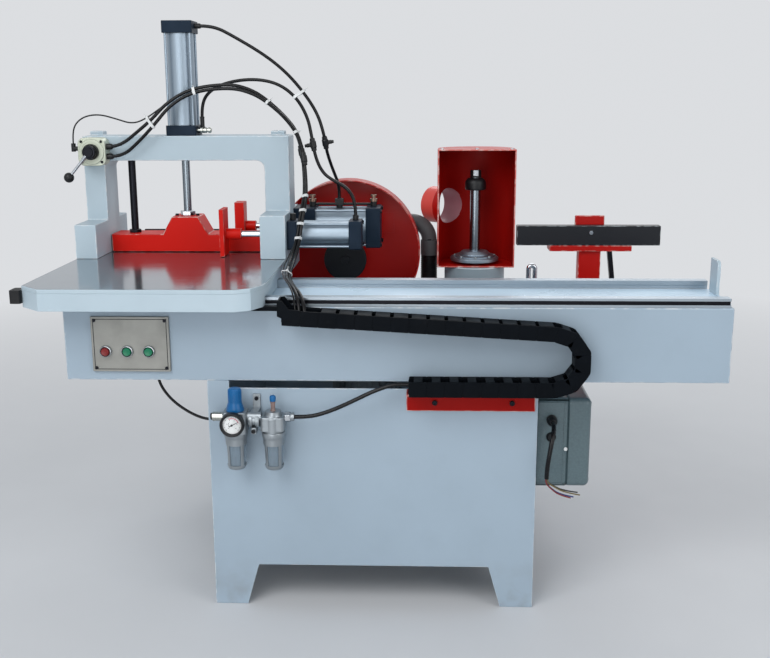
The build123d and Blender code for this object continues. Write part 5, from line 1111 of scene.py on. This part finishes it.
class SHAPER_OT_air_unit(Operator):
    """Filter regulator and oiler with bowls, knobs and gauge"""

    bl_idname = "shaper.air_unit"
    bl_label = "Air unit"
    filter_x, oiler_x, middle = 410.5, 500, -45
    shoulder, pipe_z, gauge_z = 520, 505, 499
    window_low, window_high, window_share = 386 * MM, 439 * MM, 0.36
    bands = ((13.4, 15.2, 120, 225, "dial rose"), (7.6, 8.3, 225, 315, "black plastic"))

    def bowl(self, x):
        """A clear bowl inside a guard with four tall windows."""
        foot, centre = spot(x, self.middle, 375), spot(x, self.middle, 0)
        inside = [(0, 3), (13, 3), (19, 6), (20.4, 12), (22.4, 60), (22.4, 80), (0, 80)]
        cup = turned(foot, UP, inside, 40, "bowl clear")
        outline = [(0, 1), (14, 1), (19.4, 3.4), (22, 8), (22.6, 13), (23.4, 40), (24.6, 63), (25, 66)]
        guard = bake(coat(lathe(foot, UP, outline + [(25, 82), (0, 82)], 64), "cast aluminium"))

        def is_open(point, normal):
            quarter = (point - centre).to_2d().angle_signed(Vector((0, -1)), 0) / tau * 4
            between_bars = abs(quarter - round(quarter)) < self.window_share
            window = between_bars and self.window_low < point.z < self.window_high
            return window or abs(normal.z) > 0.9 and point.z > self.window_high + MM

        edit(guard, is_open)
        bpy.ops.mesh.delete(type="FACE")
        bpy.ops.mesh.select_all(action="SELECT")
        bpy.ops.mesh.delete_loose()
        close()
        modify(guard, "SOLIDIFY", thickness=1.6 * MM, offset=-1)
        drain = turned(foot, UP, [(0, 0), (4.6, 0), (4.6, 1.4), (0, 1.4)], 18, "black plastic")
        return join(soften(guard), cup, drain)

    def knob(self, ribs):
        """The ribbed regulator knob with its flared foot."""
        profile = [(0, 0), (21, 0), (21, 3), (20, 8), (17, 17), (15.8, 22), (15, 50), (14, 53), (12, 54), (0, 54)]
        body = turned(spot(self.filter_x, self.middle, 520.3), UP, profile, 48, "knob blue")
        rib = homed(slab((-1.3, -16, 541), (1.3, -13.6, 571), 0.5 * MM, "knob blue"))
        return join(body, scatter(rib, turns(spot(self.filter_x, self.middle, 0), "Z", ribs)))

    def castings(self, edge):
        """Filter and oiler bodies, each on a round collar above its bowl."""
        hue = "cast aluminium"
        collar = [(0, 0), (26, 0), (26.4, 4), (27.8, 6), (27.8, 15), (27, 16.6), (24.6, 17.4), (24.6, 24), (0, 24)]
        parts = []
        for x, low, high in ((self.filter_x, 466, 520), (self.oiler_x, 474, 509)):
            outline = [(x + across, self.middle + back, low) for across, back in rounded(-28, 28, -24, 24, 8)]
            parts.append(soften(coat(drawn(outline, (0, 0, high - low)), hue), 2.4 * edge, 3))
            parts.append(turned(spot(x, self.middle, 453), UP, collar, 56, hue))
        column = [(0, 0), (26, 0), (26, 30), (23, 33), (20, 39), (19, 46), (0, 46)]
        parts.append(turned(spot(self.oiler_x, self.middle, 474), UP, column, 48, hue))
        for x, radius in ((self.filter_x, 21), (self.oiler_x, 12)):
            rim = [(0, -2), (radius, -2), (radius, -0.4), (radius - 0.8, 0.1), (0, 0.1)]
            parts.append(turned(spot(x, self.middle, self.shoulder), UP, rim, 40, hue))
        neck = [(0, 0), (7, 0), (5, 4), (5.4, 16), (6.6, 22.6), (0, 22.6)]
        parts.append(turned(spot(self.oiler_x, self.middle, self.shoulder), UP, neck, 32, "sight rose"))
        return join(*parts)

    def number(self, value, place):
        """A raised number on the dial."""
        deselect()
        bpy.ops.object.text_add()
        number = bpy.context.object
        number.data.body = str(value)
        number.data.size, number.data.extrude = 4 * MM, 0.06 * MM
        number.data.align_x, number.data.align_y = "CENTER", "CENTER"
        bpy.ops.object.convert(target="MESH")
        edit_points()
        bpy.ops.mesh.remove_doubles(threshold=WELD)
        close()
        number.matrix_world = Matrix.Translation(place) @ Matrix.Rotation(pi / 2, 4, "X")
        return number

    def gauge(self):
        """A round pressure gauge with ticks, numbers and two coloured arcs on its dial."""
        back = spot(self.filter_x, -81, self.gauge_z)
        face = back - 10.4 * AWAY * MM
        case = [(0, -8), (7, -8), (7, 0), (24, 0), (26.5, 2.5), (26.5, 15), (25.6, 17.4), (24, 18), (21.4, 17)]
        case += [(20.4, 15), (20.4, 10), (0, 10)]
        dial = [(0, 10), (20.3, 10), (20.3, 10.4), (0, 10.4)]
        parts = [turned(back, -AWAY, case, 56, "black plastic"), coat(lathe(back, -AWAY, dial, 56), "dial white")]
        for inner, outer, start, stop, hue in self.bands:
            band = [(inner, 0), (outer, 0), (outer, 0.12), (inner, 0.12)]
            band = lathe(ORIGIN, UP, band, 24, radians(stop - start), radians(start))
            band.matrix_world = Matrix.Translation(face) @ Matrix.Rotation(pi / 2, 4, "X")
            parts.append(coat(band, hue))
        for step in range(51):
            inner, half = (17.2, 0.15) if step % 5 else (16, 0.3)
            mark = homed(block((inner, -0.16, -half), (19, 0, half)))
            lean = Matrix.Rotation(-radians(225 - 5.4 * step), 4, "Y")
            mark.matrix_world = Matrix.Translation(face) @ lean @ mark.matrix_world
            parts.append(coat(mark, "black plastic"))
        for value in range(0, 11, 2):
            angle = radians(225 - 27 * value)
            place = face + Vector((11 * cos(angle), -0.06, 11 * sin(angle))) * MM
            parts.append(coat(self.number(value, place), "black plastic"))
        gauge = join(*parts)
        middle = spot(self.filter_x, 0, self.gauge_z)
        wider = Matrix.Translation(middle) @ Matrix.Diagonal((1.08, 1, 1.08, 1)) @ Matrix.Translation(-middle)
        gauge.matrix_world = wider @ gauge.matrix_world
        return gauge

    def needle(self):
        """A slim needle on a small hub, turned to where the gauge reads at rest."""
        near = (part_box("gauge_pointer")[0].y - FRONT) / MM
        blade = [(-7, -1), (8, -0.7), (18, -0.2), (18, 0.2), (8, 0.7), (-7, 1)]
        blade = [Matrix.Rotation(radians(28), 2) @ Vector(corner) for corner in blade]
        blade = drawn([(self.filter_x + across, near + 0.3, self.gauge_z + up) for across, up in blade], (0, 0.7, 0))
        hub = [(0, 0), (2.4, 0), (2.4, 1), (1.6, 1.4), (0, 1.4)]
        hub = turned(spot(self.filter_x, near + 1.4, self.gauge_z), -AWAY, hub, 20, "black plastic")
        return join(hub, coat(blade, "black plastic"))

    def couplings(self, edge):
        """Inlet, clamp between the two bodies, outlet and bracket."""
        fittings = dress("air_unit_fittings", 0.6 * edge, "cast aluminium")
        repaint(fittings, "nickel", lambda x, y, z, normal: x < 381)
        inlet = [(6.6, 0), (9.8, 0), (9.8, 7), (9, 8), (6.6, 8)]
        inlet = turned(spot(364, self.middle, self.pipe_z), RIGHT, inlet, 24, "nickel", HAIRLINE)
        mouth = [(4, 0), (7.6, 0), (8.4, 1), (8.4, 7), (7.6, 8), (4, 8)]
        mouth = turned(spot(352, self.middle, self.pipe_z), RIGHT, mouth, 28, "black plastic")
        clamp = [(0, 0), (15, 0), (16.5, 2), (16.5, 9), (13, 10.5), (13, 16), (16.5, 17.5), (16.5, 24.5), (15, 26.5)]
        clamp = turned(spot(442, self.middle, 496), RIGHT, clamp + [(0, 26.5)], 40, "cast aluminium")
        screw = screws([spot(455.25, -62, 474)], -AWAY, 5, 4, "black plastic")
        seat = slab((449, -62, 466), (461.5, -34, 482), 2 * MM, "cast aluminium", segments=3)
        outlet = [(0, 0), (13, 0), (13, 12), (11.4, 14), (10.4, 14), (10.4, 21), (0, 21)]
        outlet = turned(spot(528, self.middle, self.pipe_z), RIGHT, outlet, 6, "turned steel", SLIGHT)
        return join(fittings, inlet, mouth, clamp, screw, seat, outlet)

    def execute(self, context):
        sizes = context.scene.shaper_sizes
        settle(self.castings(sizes.fine_edge), "air_unit_castings", "air_unit_bodies")
        settle(join(self.bowl(self.filter_x), self.bowl(self.oiler_x)), "bowls_and_guards", "air_unit_bowls")
        settle(self.knob(sizes.knob_ribs), "ribbed_regulator_knob", "regulator_knob")
        drip = [(0, 0), (6.4, 0), (7.4, 2), (7.4, 10), (6.4, 12.8), (4.6, 14), (0, 14)]
        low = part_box("drip_knob")[0].z / MM
        settle(turned(spot(self.oiler_x, self.middle, low), UP, drip, 20, "knob blue"), "drip_screw", "drip_knob")
        settle(self.gauge(), "dial_gauge", "pressure_gauge")
        settle(self.needle(), "gauge_needle", "gauge_pointer")
        settle(self.couplings(sizes.fine_edge), "air_unit_couplings", "air_unit_fittings")
        return {"FINISHED"}


class SHAPER_OT_terminal(Operator):
    """Terminal box with its lid, cable gland and blank grommet"""

    bl_idname = "shaper.terminal"
    bl_label = "Terminal box"
    front = 60

    def execute(self, context):
        edge = 1.8 * context.scene.shaper_sizes.cast_edge
        case = dress("terminal_box", edge, "hammered green", segments=4)
        rim = join(*border((1133, 304), (1199, 513), self.front - 1.4, self.front + 0.4, 3))
        settle(join(case, soften(coat(rim, "hammered green"), HAIRLINE)), "terminal_case", "terminal_box")
        lid = dress("terminal_lid", edge, "hammered green", segments=4)
        seam = screws([spot(1202.5, self.front, 394)], -AWAY, 4.6, 2.4, "tie white")
        corners = screws([spot(1262, y, z) for y in (76, 234) for z in (312, 505)], RIGHT, 6, 1.6, "bright chrome")
        settle(join(lid, corners, seam), "terminal_cover", "terminal_lid")
        dome = [(5.6, 0), (13, 0), (13, 6), (11.5, 7), (11.5, 8), (12.4, 9), (12.4, 18), (9.6, 24), (7.2, 26)]
        nut = turned(spot(1166, self.front, 469), -AWAY, dome + [(5.6, 26)], 12, "black plastic")
        plug = [(0, 0), (12, 0), (12, 3), (10.4, 5.4), (8, 7), (6.4, 6.6), (5.6, 4.6), (0, 4.2)]
        blank = turned(spot(1166, self.front, 425), -AWAY, plug, 32, "black plastic")
        settle(join(nut, blank), "gland_and_grommet", "cable_glands")
        return {"FINISHED"}


class SHAPER_OT_spindle(Operator):
    """Cutter spindle with its housing, shaft, nut and hood"""

    bl_idname = "shaper.spindle"
    bl_label = "Spindle"
    x, y = 1006, 725
    hood_inner, hood_front = 110, 655
    port_turn, port_z, port_bore, port_cut = radians(137), 912, 53, 14 * MM

    def circle(self, reach, z):
        """Eight places in a circle round the spindle."""
        angles = [tau * step / 8 for step in range(8)]
        return [spot(self.x + reach * cos(angle), self.y + reach * sin(angle), z) for angle in angles]

    def hood(self, edge):
        """The hood in its reds, with painted shade inside and a painted highlight on its front rims, and a row of
        rivets; its dust port is cut shorter than the frame's.
        """
        hood = dress("spindle_hood", edge, "red enamel", "red edge")
        way = Vector((cos(self.port_turn), sin(self.port_turn)))
        out = way.to_3d()

        def beside(x, y):
            return Vector((x - self.x, y - self.y))

        def in_hood(x, y, z, normal):
            reach = abs(x - self.x) if y < self.y else beside(x, y).length
            return 749.05 < z < 1085 and y > self.hood_front and reach < self.hood_inner

        def in_port(x, y, z, normal):
            across = beside(x, y).dot(way.orthogonal())
            return beside(x, y).dot(way) > 100 and Vector((across, z - self.port_z)).length < self.port_bore

        repaint(hood, "port red", lambda x, y, z, normal: beside(x, y).dot(way) > 120)
        # Painted shade: the faces inside the hood take the darker red.
        repaint(hood, "inner red", in_hood)
        # Painted highlight: the faces turned to the front take the pale edge finish.
        repaint(hood, "hood edge", lambda x, y, z, normal: normal.y < -0.5 and y < self.hood_front - 0.5)
        repaint(hood, "port lining", in_port)
        centre = spot(self.x, self.y, 0)
        edit(hood, lambda point, normal: (point - centre).dot(out) > 182 * MM)
        bpy.ops.transform.translate(value=-self.port_cut * out)
        close()
        rivet = turned(ORIGIN, UP, [(0, 0), (5.6, 0), (5.2, 1.8), (3.4, 3.4), (0, 4)], 24, "turned steel")
        return join(hood, scatter(rivet, [spot(x, 664, 1087.6) for x in (905, self.x, 1107)]))

    def shaft(self, edge):
        """The shaft with its threaded nose, and the flange with a step and eight screws."""
        shaft = dress("spindle_shaft", edge, "ground steel")
        repaint(shaft, "barrel upright", lambda x, y, z, normal: z < 790)
        nose = [(15.2, 0), (16.4, 0), (16.4, 18), (15.6, 21.8), (15.2, 21.8)]
        nose = turned(spot(self.x, self.y, 1003), UP, nose, 32, "black plastic")
        # A bright chrome flat on the nose's front: partly a spanner flat, partly a painted highlight down the dark
        # nose.
        flat_and_highlight = slab((999, 708.2, 1008), (1013, 712, 1024.6), HAIRLINE, "bright chrome")
        step = [(46, 0), (60, 0), (60, 3), (57, 5), (46, 5)]
        step = turned(spot(self.x, self.y, 769), UP, step, 56, "barrel upright")
        return join(shaft, screws(self.circle(58, 769), UP, 5, 5, "motor aluminium"), step, nose, flat_and_highlight)

    def execute(self, context):
        sizes = context.scene.shaper_sizes
        # The spindle base wears the darker copy of the light enamel: painted shade under the hood.
        housing = dress("spindle_housing", sizes.cast_edge, "housing enamel", "light edge", segments=3)
        settle(join(housing, screws(self.circle(97, 595), UP, 6, 6)), "spindle_base", "spindle_housing")
        settle(self.hood(0.5 * sizes.sheet_edge), "cutter_hood", "spindle_hood")
        settle(self.shaft(0.6 * sizes.fine_edge), "cutter_shaft", "spindle_shaft")
        stack = [(15.6, 0), (27, 0), (30.2, 1.8), (31, 5), (31, 20), (29.6, 26), (26, 31), (22, 34.4), (15.6, 36)]
        settle(turned(spot(self.x, self.y, 966.4), UP, stack, 48, "black plastic"), "cutter_nut", "spindle_nut")
        return {"FINISHED"}


class SHAPER_OT_drive(Operator):
    """Main motor, belt, pulleys and bearings inside the cabinet"""

    bl_idname = "shaper.drive"
    bl_label = "Main drive"
    turning = ("motor_pulley", "spindle_pulley", "spindle_bearings")

    def execute(self, context):
        motor = dress("main_motor", 1.5 * MM, "motor aluminium")
        places = turns(spot(680, 725, 0), "Z", context.scene.shaper_sizes.motor_fins)
        cooling = fins((-1.6, 98, 236), (1.6, 107, 430), 0.7 * MM, places)
        settle(join(motor, cooling), "finned_main_motor", "main_motor")
        for node in ("drive_belt", *self.turning):
            for slot in frame["nodes"][node].material_slots:
                slot.material = finish("turned steel" if node in self.turning else "belt rubber")
        return {"FINISHED"}


class SHAPER_OT_saw(Operator):
    """Trimming saw: guard, arbor, motor and dust duct"""

    bl_idname = "shaper.saw"
    bl_label = "Trimming saw"
    x, z = 621, 766
    duct_x, duct_y = 870, 780

    def duct(self):
        """The duct with ribs up its standing run, and smooth cuffs at its elbow and foot."""
        tube = dress("saw_dust_duct", 0, "duct rubber")
        repaint(tube, "duct grey", lambda x, y, z, normal: z > 764)
        ring = rib_ring(22.6, 25, 4.4, 28, "duct rubber")
        ribs = scatter(ring, [spot(self.duct_x, self.duct_y, 590 + 6.5 * step) for step in range(27)])
        elbow = [(23.2, 0), (26, 0), (26, 26), (25, 27), (23.2, 27)]
        stand = [(23.2, 0), (26, 0), (26, 45), (25, 46), (23.2, 46)]
        foot = [(23.2, 0), (31, 0), (31, 3), (27, 4), (27, 10), (23.2, 10)]
        cuffs = ((760, 866, RIGHT, elbow), (self.duct_x, 764, UP, stand), (self.duct_x, 580, UP, foot))
        cuffs = [turned(spot(x, self.duct_y, z), axis, cuff, 40, "duct grey") for x, z, axis, cuff in cuffs]
        return join(tube, ribs, *cuffs)

    def execute(self, context):
        sizes = context.scene.shaper_sizes
        cover = dress("saw_guard", 0.5 * sizes.sheet_edge, "red enamel", "red edge")
        repaint(cover, "red enamel", lambda x, y, z, normal: y > 740)
        shutter = slab((696, 742, 836), (764, 743.4, 896), 0.4 * MM, "red enamel")
        settle(join(cover, shutter), "saw_cover", "saw_guard")
        arbor = dress("saw_arbor", 0.6 * sizes.fine_edge, "ink enamel")
        bolt = hexagons([spot(self.x, 658, self.z)], -AWAY, 10, 2.8, "motor aluminium", 4)
        settle(join(arbor, bolt), "saw_flange", "saw_arbor")
        motor = dress("saw_motor", 1.5 * MM, "motor aluminium")
        count = sizes.motor_fins
        places = turns(spot(self.x, 0, self.z), "Y", count)
        places = [place for step, place in enumerate(places) if abs(step - count / 2) > count / 7]
        cooling = fins((-1.3, 760, 73), (1.3, 878, 81), HAIRLINE, places)
        settle(join(motor, cooling), "finned_saw_motor", "saw_motor")
        settle(self.duct(), "ribbed_dust_duct", "saw_dust_duct")
        return {"FINISHED"}


class SHAPER_OT_alignment(Operator):
    """Alignment post with its bar, and the conduit arch beside it"""

    bl_idname = "shaper.alignment"
    bl_label = "Alignment bar"
    arch_x, arch_y, arch_z, arch_reach = 1175, 690, 735.5, 9.5

    def execute(self, context):
        edge = 0.8 * context.scene.shaper_sizes.cast_edge
        redress("alignment_post", "alignment_stand", edge, "red enamel", "red edge")
        bar = dress("alignment_bar", edge, "ink enamel", "ink edge")
        repaint(bar, "dark steel", lambda x, y, z, normal: z < 793.5)
        settle(bar, "alignment_rail", "alignment_bar")
        conduit = dress("conduit_arch", 0, "bright chrome")
        sides = [self.arch_x + side * self.arch_reach for side in (-1, 1)]
        places = [spot(x, self.arch_y, 583 + 4 * step) for x in sides for step in range(38)]
        for angle in (pi * (step + 0.5) / 8 for step in range(8)):
            x, z = self.arch_x + self.arch_reach * cos(angle), self.arch_z + self.arch_reach * sin(angle)
            places.append(Matrix.Translation(spot(x, self.arch_y, z)) @ Matrix.Rotation(-angle, 4, "Y"))
        ribs = scatter(rib_ring(6.4, 7.4, 2.8, 18, "bright chrome"), places)
        settle(join(conduit, ribs), "ribbed_conduit", "conduit_arch")
        return {"FINISHED"}


class SHAPER_OT_stage(Operator):
    """Pale floor, soft lamps, world and camera"""

    bl_idname = "shaper.stage"
    bl_label = "Stage"

    def lamp(self, name, place, target, size, power):
        """A square soft lamp that looks at a target."""
        data = bpy.data.lights.new(name, "AREA")
        data.size, data.energy = size, power
        lamp = bpy.data.objects.new(name, data)
        bpy.context.scene.collection.objects.link(lamp)
        lamp.location = place
        lamp.rotation_euler = (Vector(target) - Vector(place)).to_track_quat("-Z", "Y").to_euler()

    def seen(self, tree):
        """One for rays from the camera, from gloss and through glass, zero for the rest."""
        path = tree.nodes.new("ShaderNodeLightPath")
        total = path.outputs["Is Camera Ray"]
        for name in ("Is Glossy Ray", "Is Transmission Ray"):
            add = tree.nodes.new("ShaderNodeMath")
            add.operation, add.use_clamp = "ADD", True
            tree.links.new(total, add.inputs[0])
            tree.links.new(path.outputs[name], add.inputs[1])
            total = add.outputs[0]
        return total

    def floor(self, tint):
        """A wide floor disc that fades into the backdrop away from the machine."""
        disc = bake(lathe(ORIGIN, UP, [(0, -4), (9000, -4), (9000, -0.6), (0, -0.6)], 96), "studio_floor")
        ground = Finish("floor paint")
        speck = ground.graded(ground.cloud(3, 4), shaded(tint, 0.99), shaded(tint, 1.01))
        ground.wear(speck, ground.ranged(ground.cloud(9), 0.6, 0.72), ground.cloud(160), 0.0002, 0.05)
        reach = ground.node("ShaderNodeVectorMath", [(0, ground.place)])
        reach.operation = "LENGTH"
        far = ground.times(ground.ranged(reach.outputs["Value"], 0.0, 1.0, 1.3, 4.2), self.seen(ground.tree))
        glow = ground.node("ShaderNodeEmission", Color=shaded(tint, 1.06))
        fade = ground.node("ShaderNodeMixShader", [(0, far), (1, ground.shader.outputs[0]), (2, glow.outputs[0])])
        ground.tree.links.new(fade.outputs[0], ground.tree.nodes["Material Output"].inputs["Surface"])
        disc.data.materials.append(ground.material)

    def world(self, tint):
        """Even light, with a pale backdrop for camera, gloss and glass."""
        world = bpy.data.worlds.new("studio")
        bpy.context.scene.world = world
        world.use_nodes = True
        tree = world.node_tree
        tree.nodes.clear()
        even, backdrop = tree.nodes.new("ShaderNodeBackground"), tree.nodes.new("ShaderNodeBackground")
        even.inputs["Color"].default_value = (0.9, 0.95, 1, 1)
        even.inputs["Strength"].default_value = 0.38
        backdrop.inputs["Color"].default_value = shaded(tint, 1.06)
        mix, out = tree.nodes.new("ShaderNodeMixShader"), tree.nodes.new("ShaderNodeOutputWorld")
        tree.links.new(self.seen(tree), mix.inputs[0])
        tree.links.new(even.outputs[0], mix.inputs[1])
        tree.links.new(backdrop.outputs[0], mix.inputs[2])
        tree.links.new(mix.outputs[0], out.inputs["Surface"])

    def camera(self, lens):
        """Camera at the photograph's angle."""
        data = bpy.data.cameras.new("camera")
        data.lens, data.sensor_width = lens, 36
        camera = bpy.data.objects.new("camera", data)
        bpy.context.scene.collection.objects.link(camera)
        yaw, pitch, roll = -0.0364052, 0.225040, 0.0036068
        aim = Matrix.Rotation(-yaw, 4, "Z") @ Matrix.Rotation(pi / 2 - pitch, 4, "X") @ Matrix.Rotation(-roll, 4, "Z")
        camera.matrix_world = Matrix.Translation((0.117228, -2.78506, 1.24722)) @ aim
        bpy.context.scene.camera = camera

    def execute(self, context):
        tint = context.scene.shaper_colours.floor
        self.floor(tint)
        self.world(tint)
        self.camera(context.scene.shaper_sizes.lens)
        self.lamp("key lamp", (-1.6, -3.0, 3.4), (0, 0, 0.7), 2.4, 76)
        self.lamp("fill lamp", (2.6, -2.4, 2.2), (0.2, 0, 0.7), 2.4, 33)
        self.lamp("low lamp", (-0.7, -3.6, 0.75), (-0.2, 0, 0.62), 1.8, 26)
        self.lamp("back lamp", (0.6, 2.8, 3.2), (0, 0, 0.8), 2.4, 44)
        context.scene.view_settings.view_transform = "Standard"
        return {"FINISHED"}


STEPS = (
    SHAPER_OT_finishes, SHAPER_OT_hoses, SHAPER_OT_cabinet, SHAPER_OT_bed, SHAPER_OT_controls, SHAPER_OT_table,
    SHAPER_OT_gantry, SHAPER_OT_cylinders, SHAPER_OT_clamp, SHAPER_OT_valve, SHAPER_OT_fittings, SHAPER_OT_chain,
    SHAPER_OT_air_unit, SHAPER_OT_terminal, SHAPER_OT_spindle, SHAPER_OT_drive, SHAPER_OT_saw,
    SHAPER_OT_alignment, SHAPER_OT_stage,
)


class SHAPER_PT_panel(Panel):
    """Lists the steps and the sizes and colours they use"""

    bl_idname = "SHAPER_PT_panel"
    bl_label = "Finger Joint Shaper"
    bl_space_type = "VIEW_3D"
    bl_region_type = "UI"
    bl_category = "Shaper"

    def draw(self, context):
        for step in STEPS:
            self.layout.operator(step.bl_idname)
        for group in (context.scene.shaper_sizes, context.scene.shaper_colours):
            box = self.layout.box()
            for name in group.__annotations__:
                box.prop(group, name)


CLASSES = (ShaperColours, ShaperSizes, *STEPS, SHAPER_PT_panel)


def register():
    for entry in CLASSES:
        bpy.utils.register_class(entry)
    bpy.types.Scene.shaper_colours = PointerProperty(type=ShaperColours)
    bpy.types.Scene.shaper_sizes = PointerProperty(type=ShaperSizes)


def unregister():
    del bpy.types.Scene.shaper_sizes
    del bpy.types.Scene.shaper_colours
    for entry in reversed(CLASSES):
        bpy.utils.unregister_class(entry)


def main():
    """Builds the machine step by step."""
    register()
    for step in STEPS:
        group, name = step.bl_idname.split(".")
        getattr(getattr(bpy.ops, group), name)()


if __name__ == "__main__":
    main()
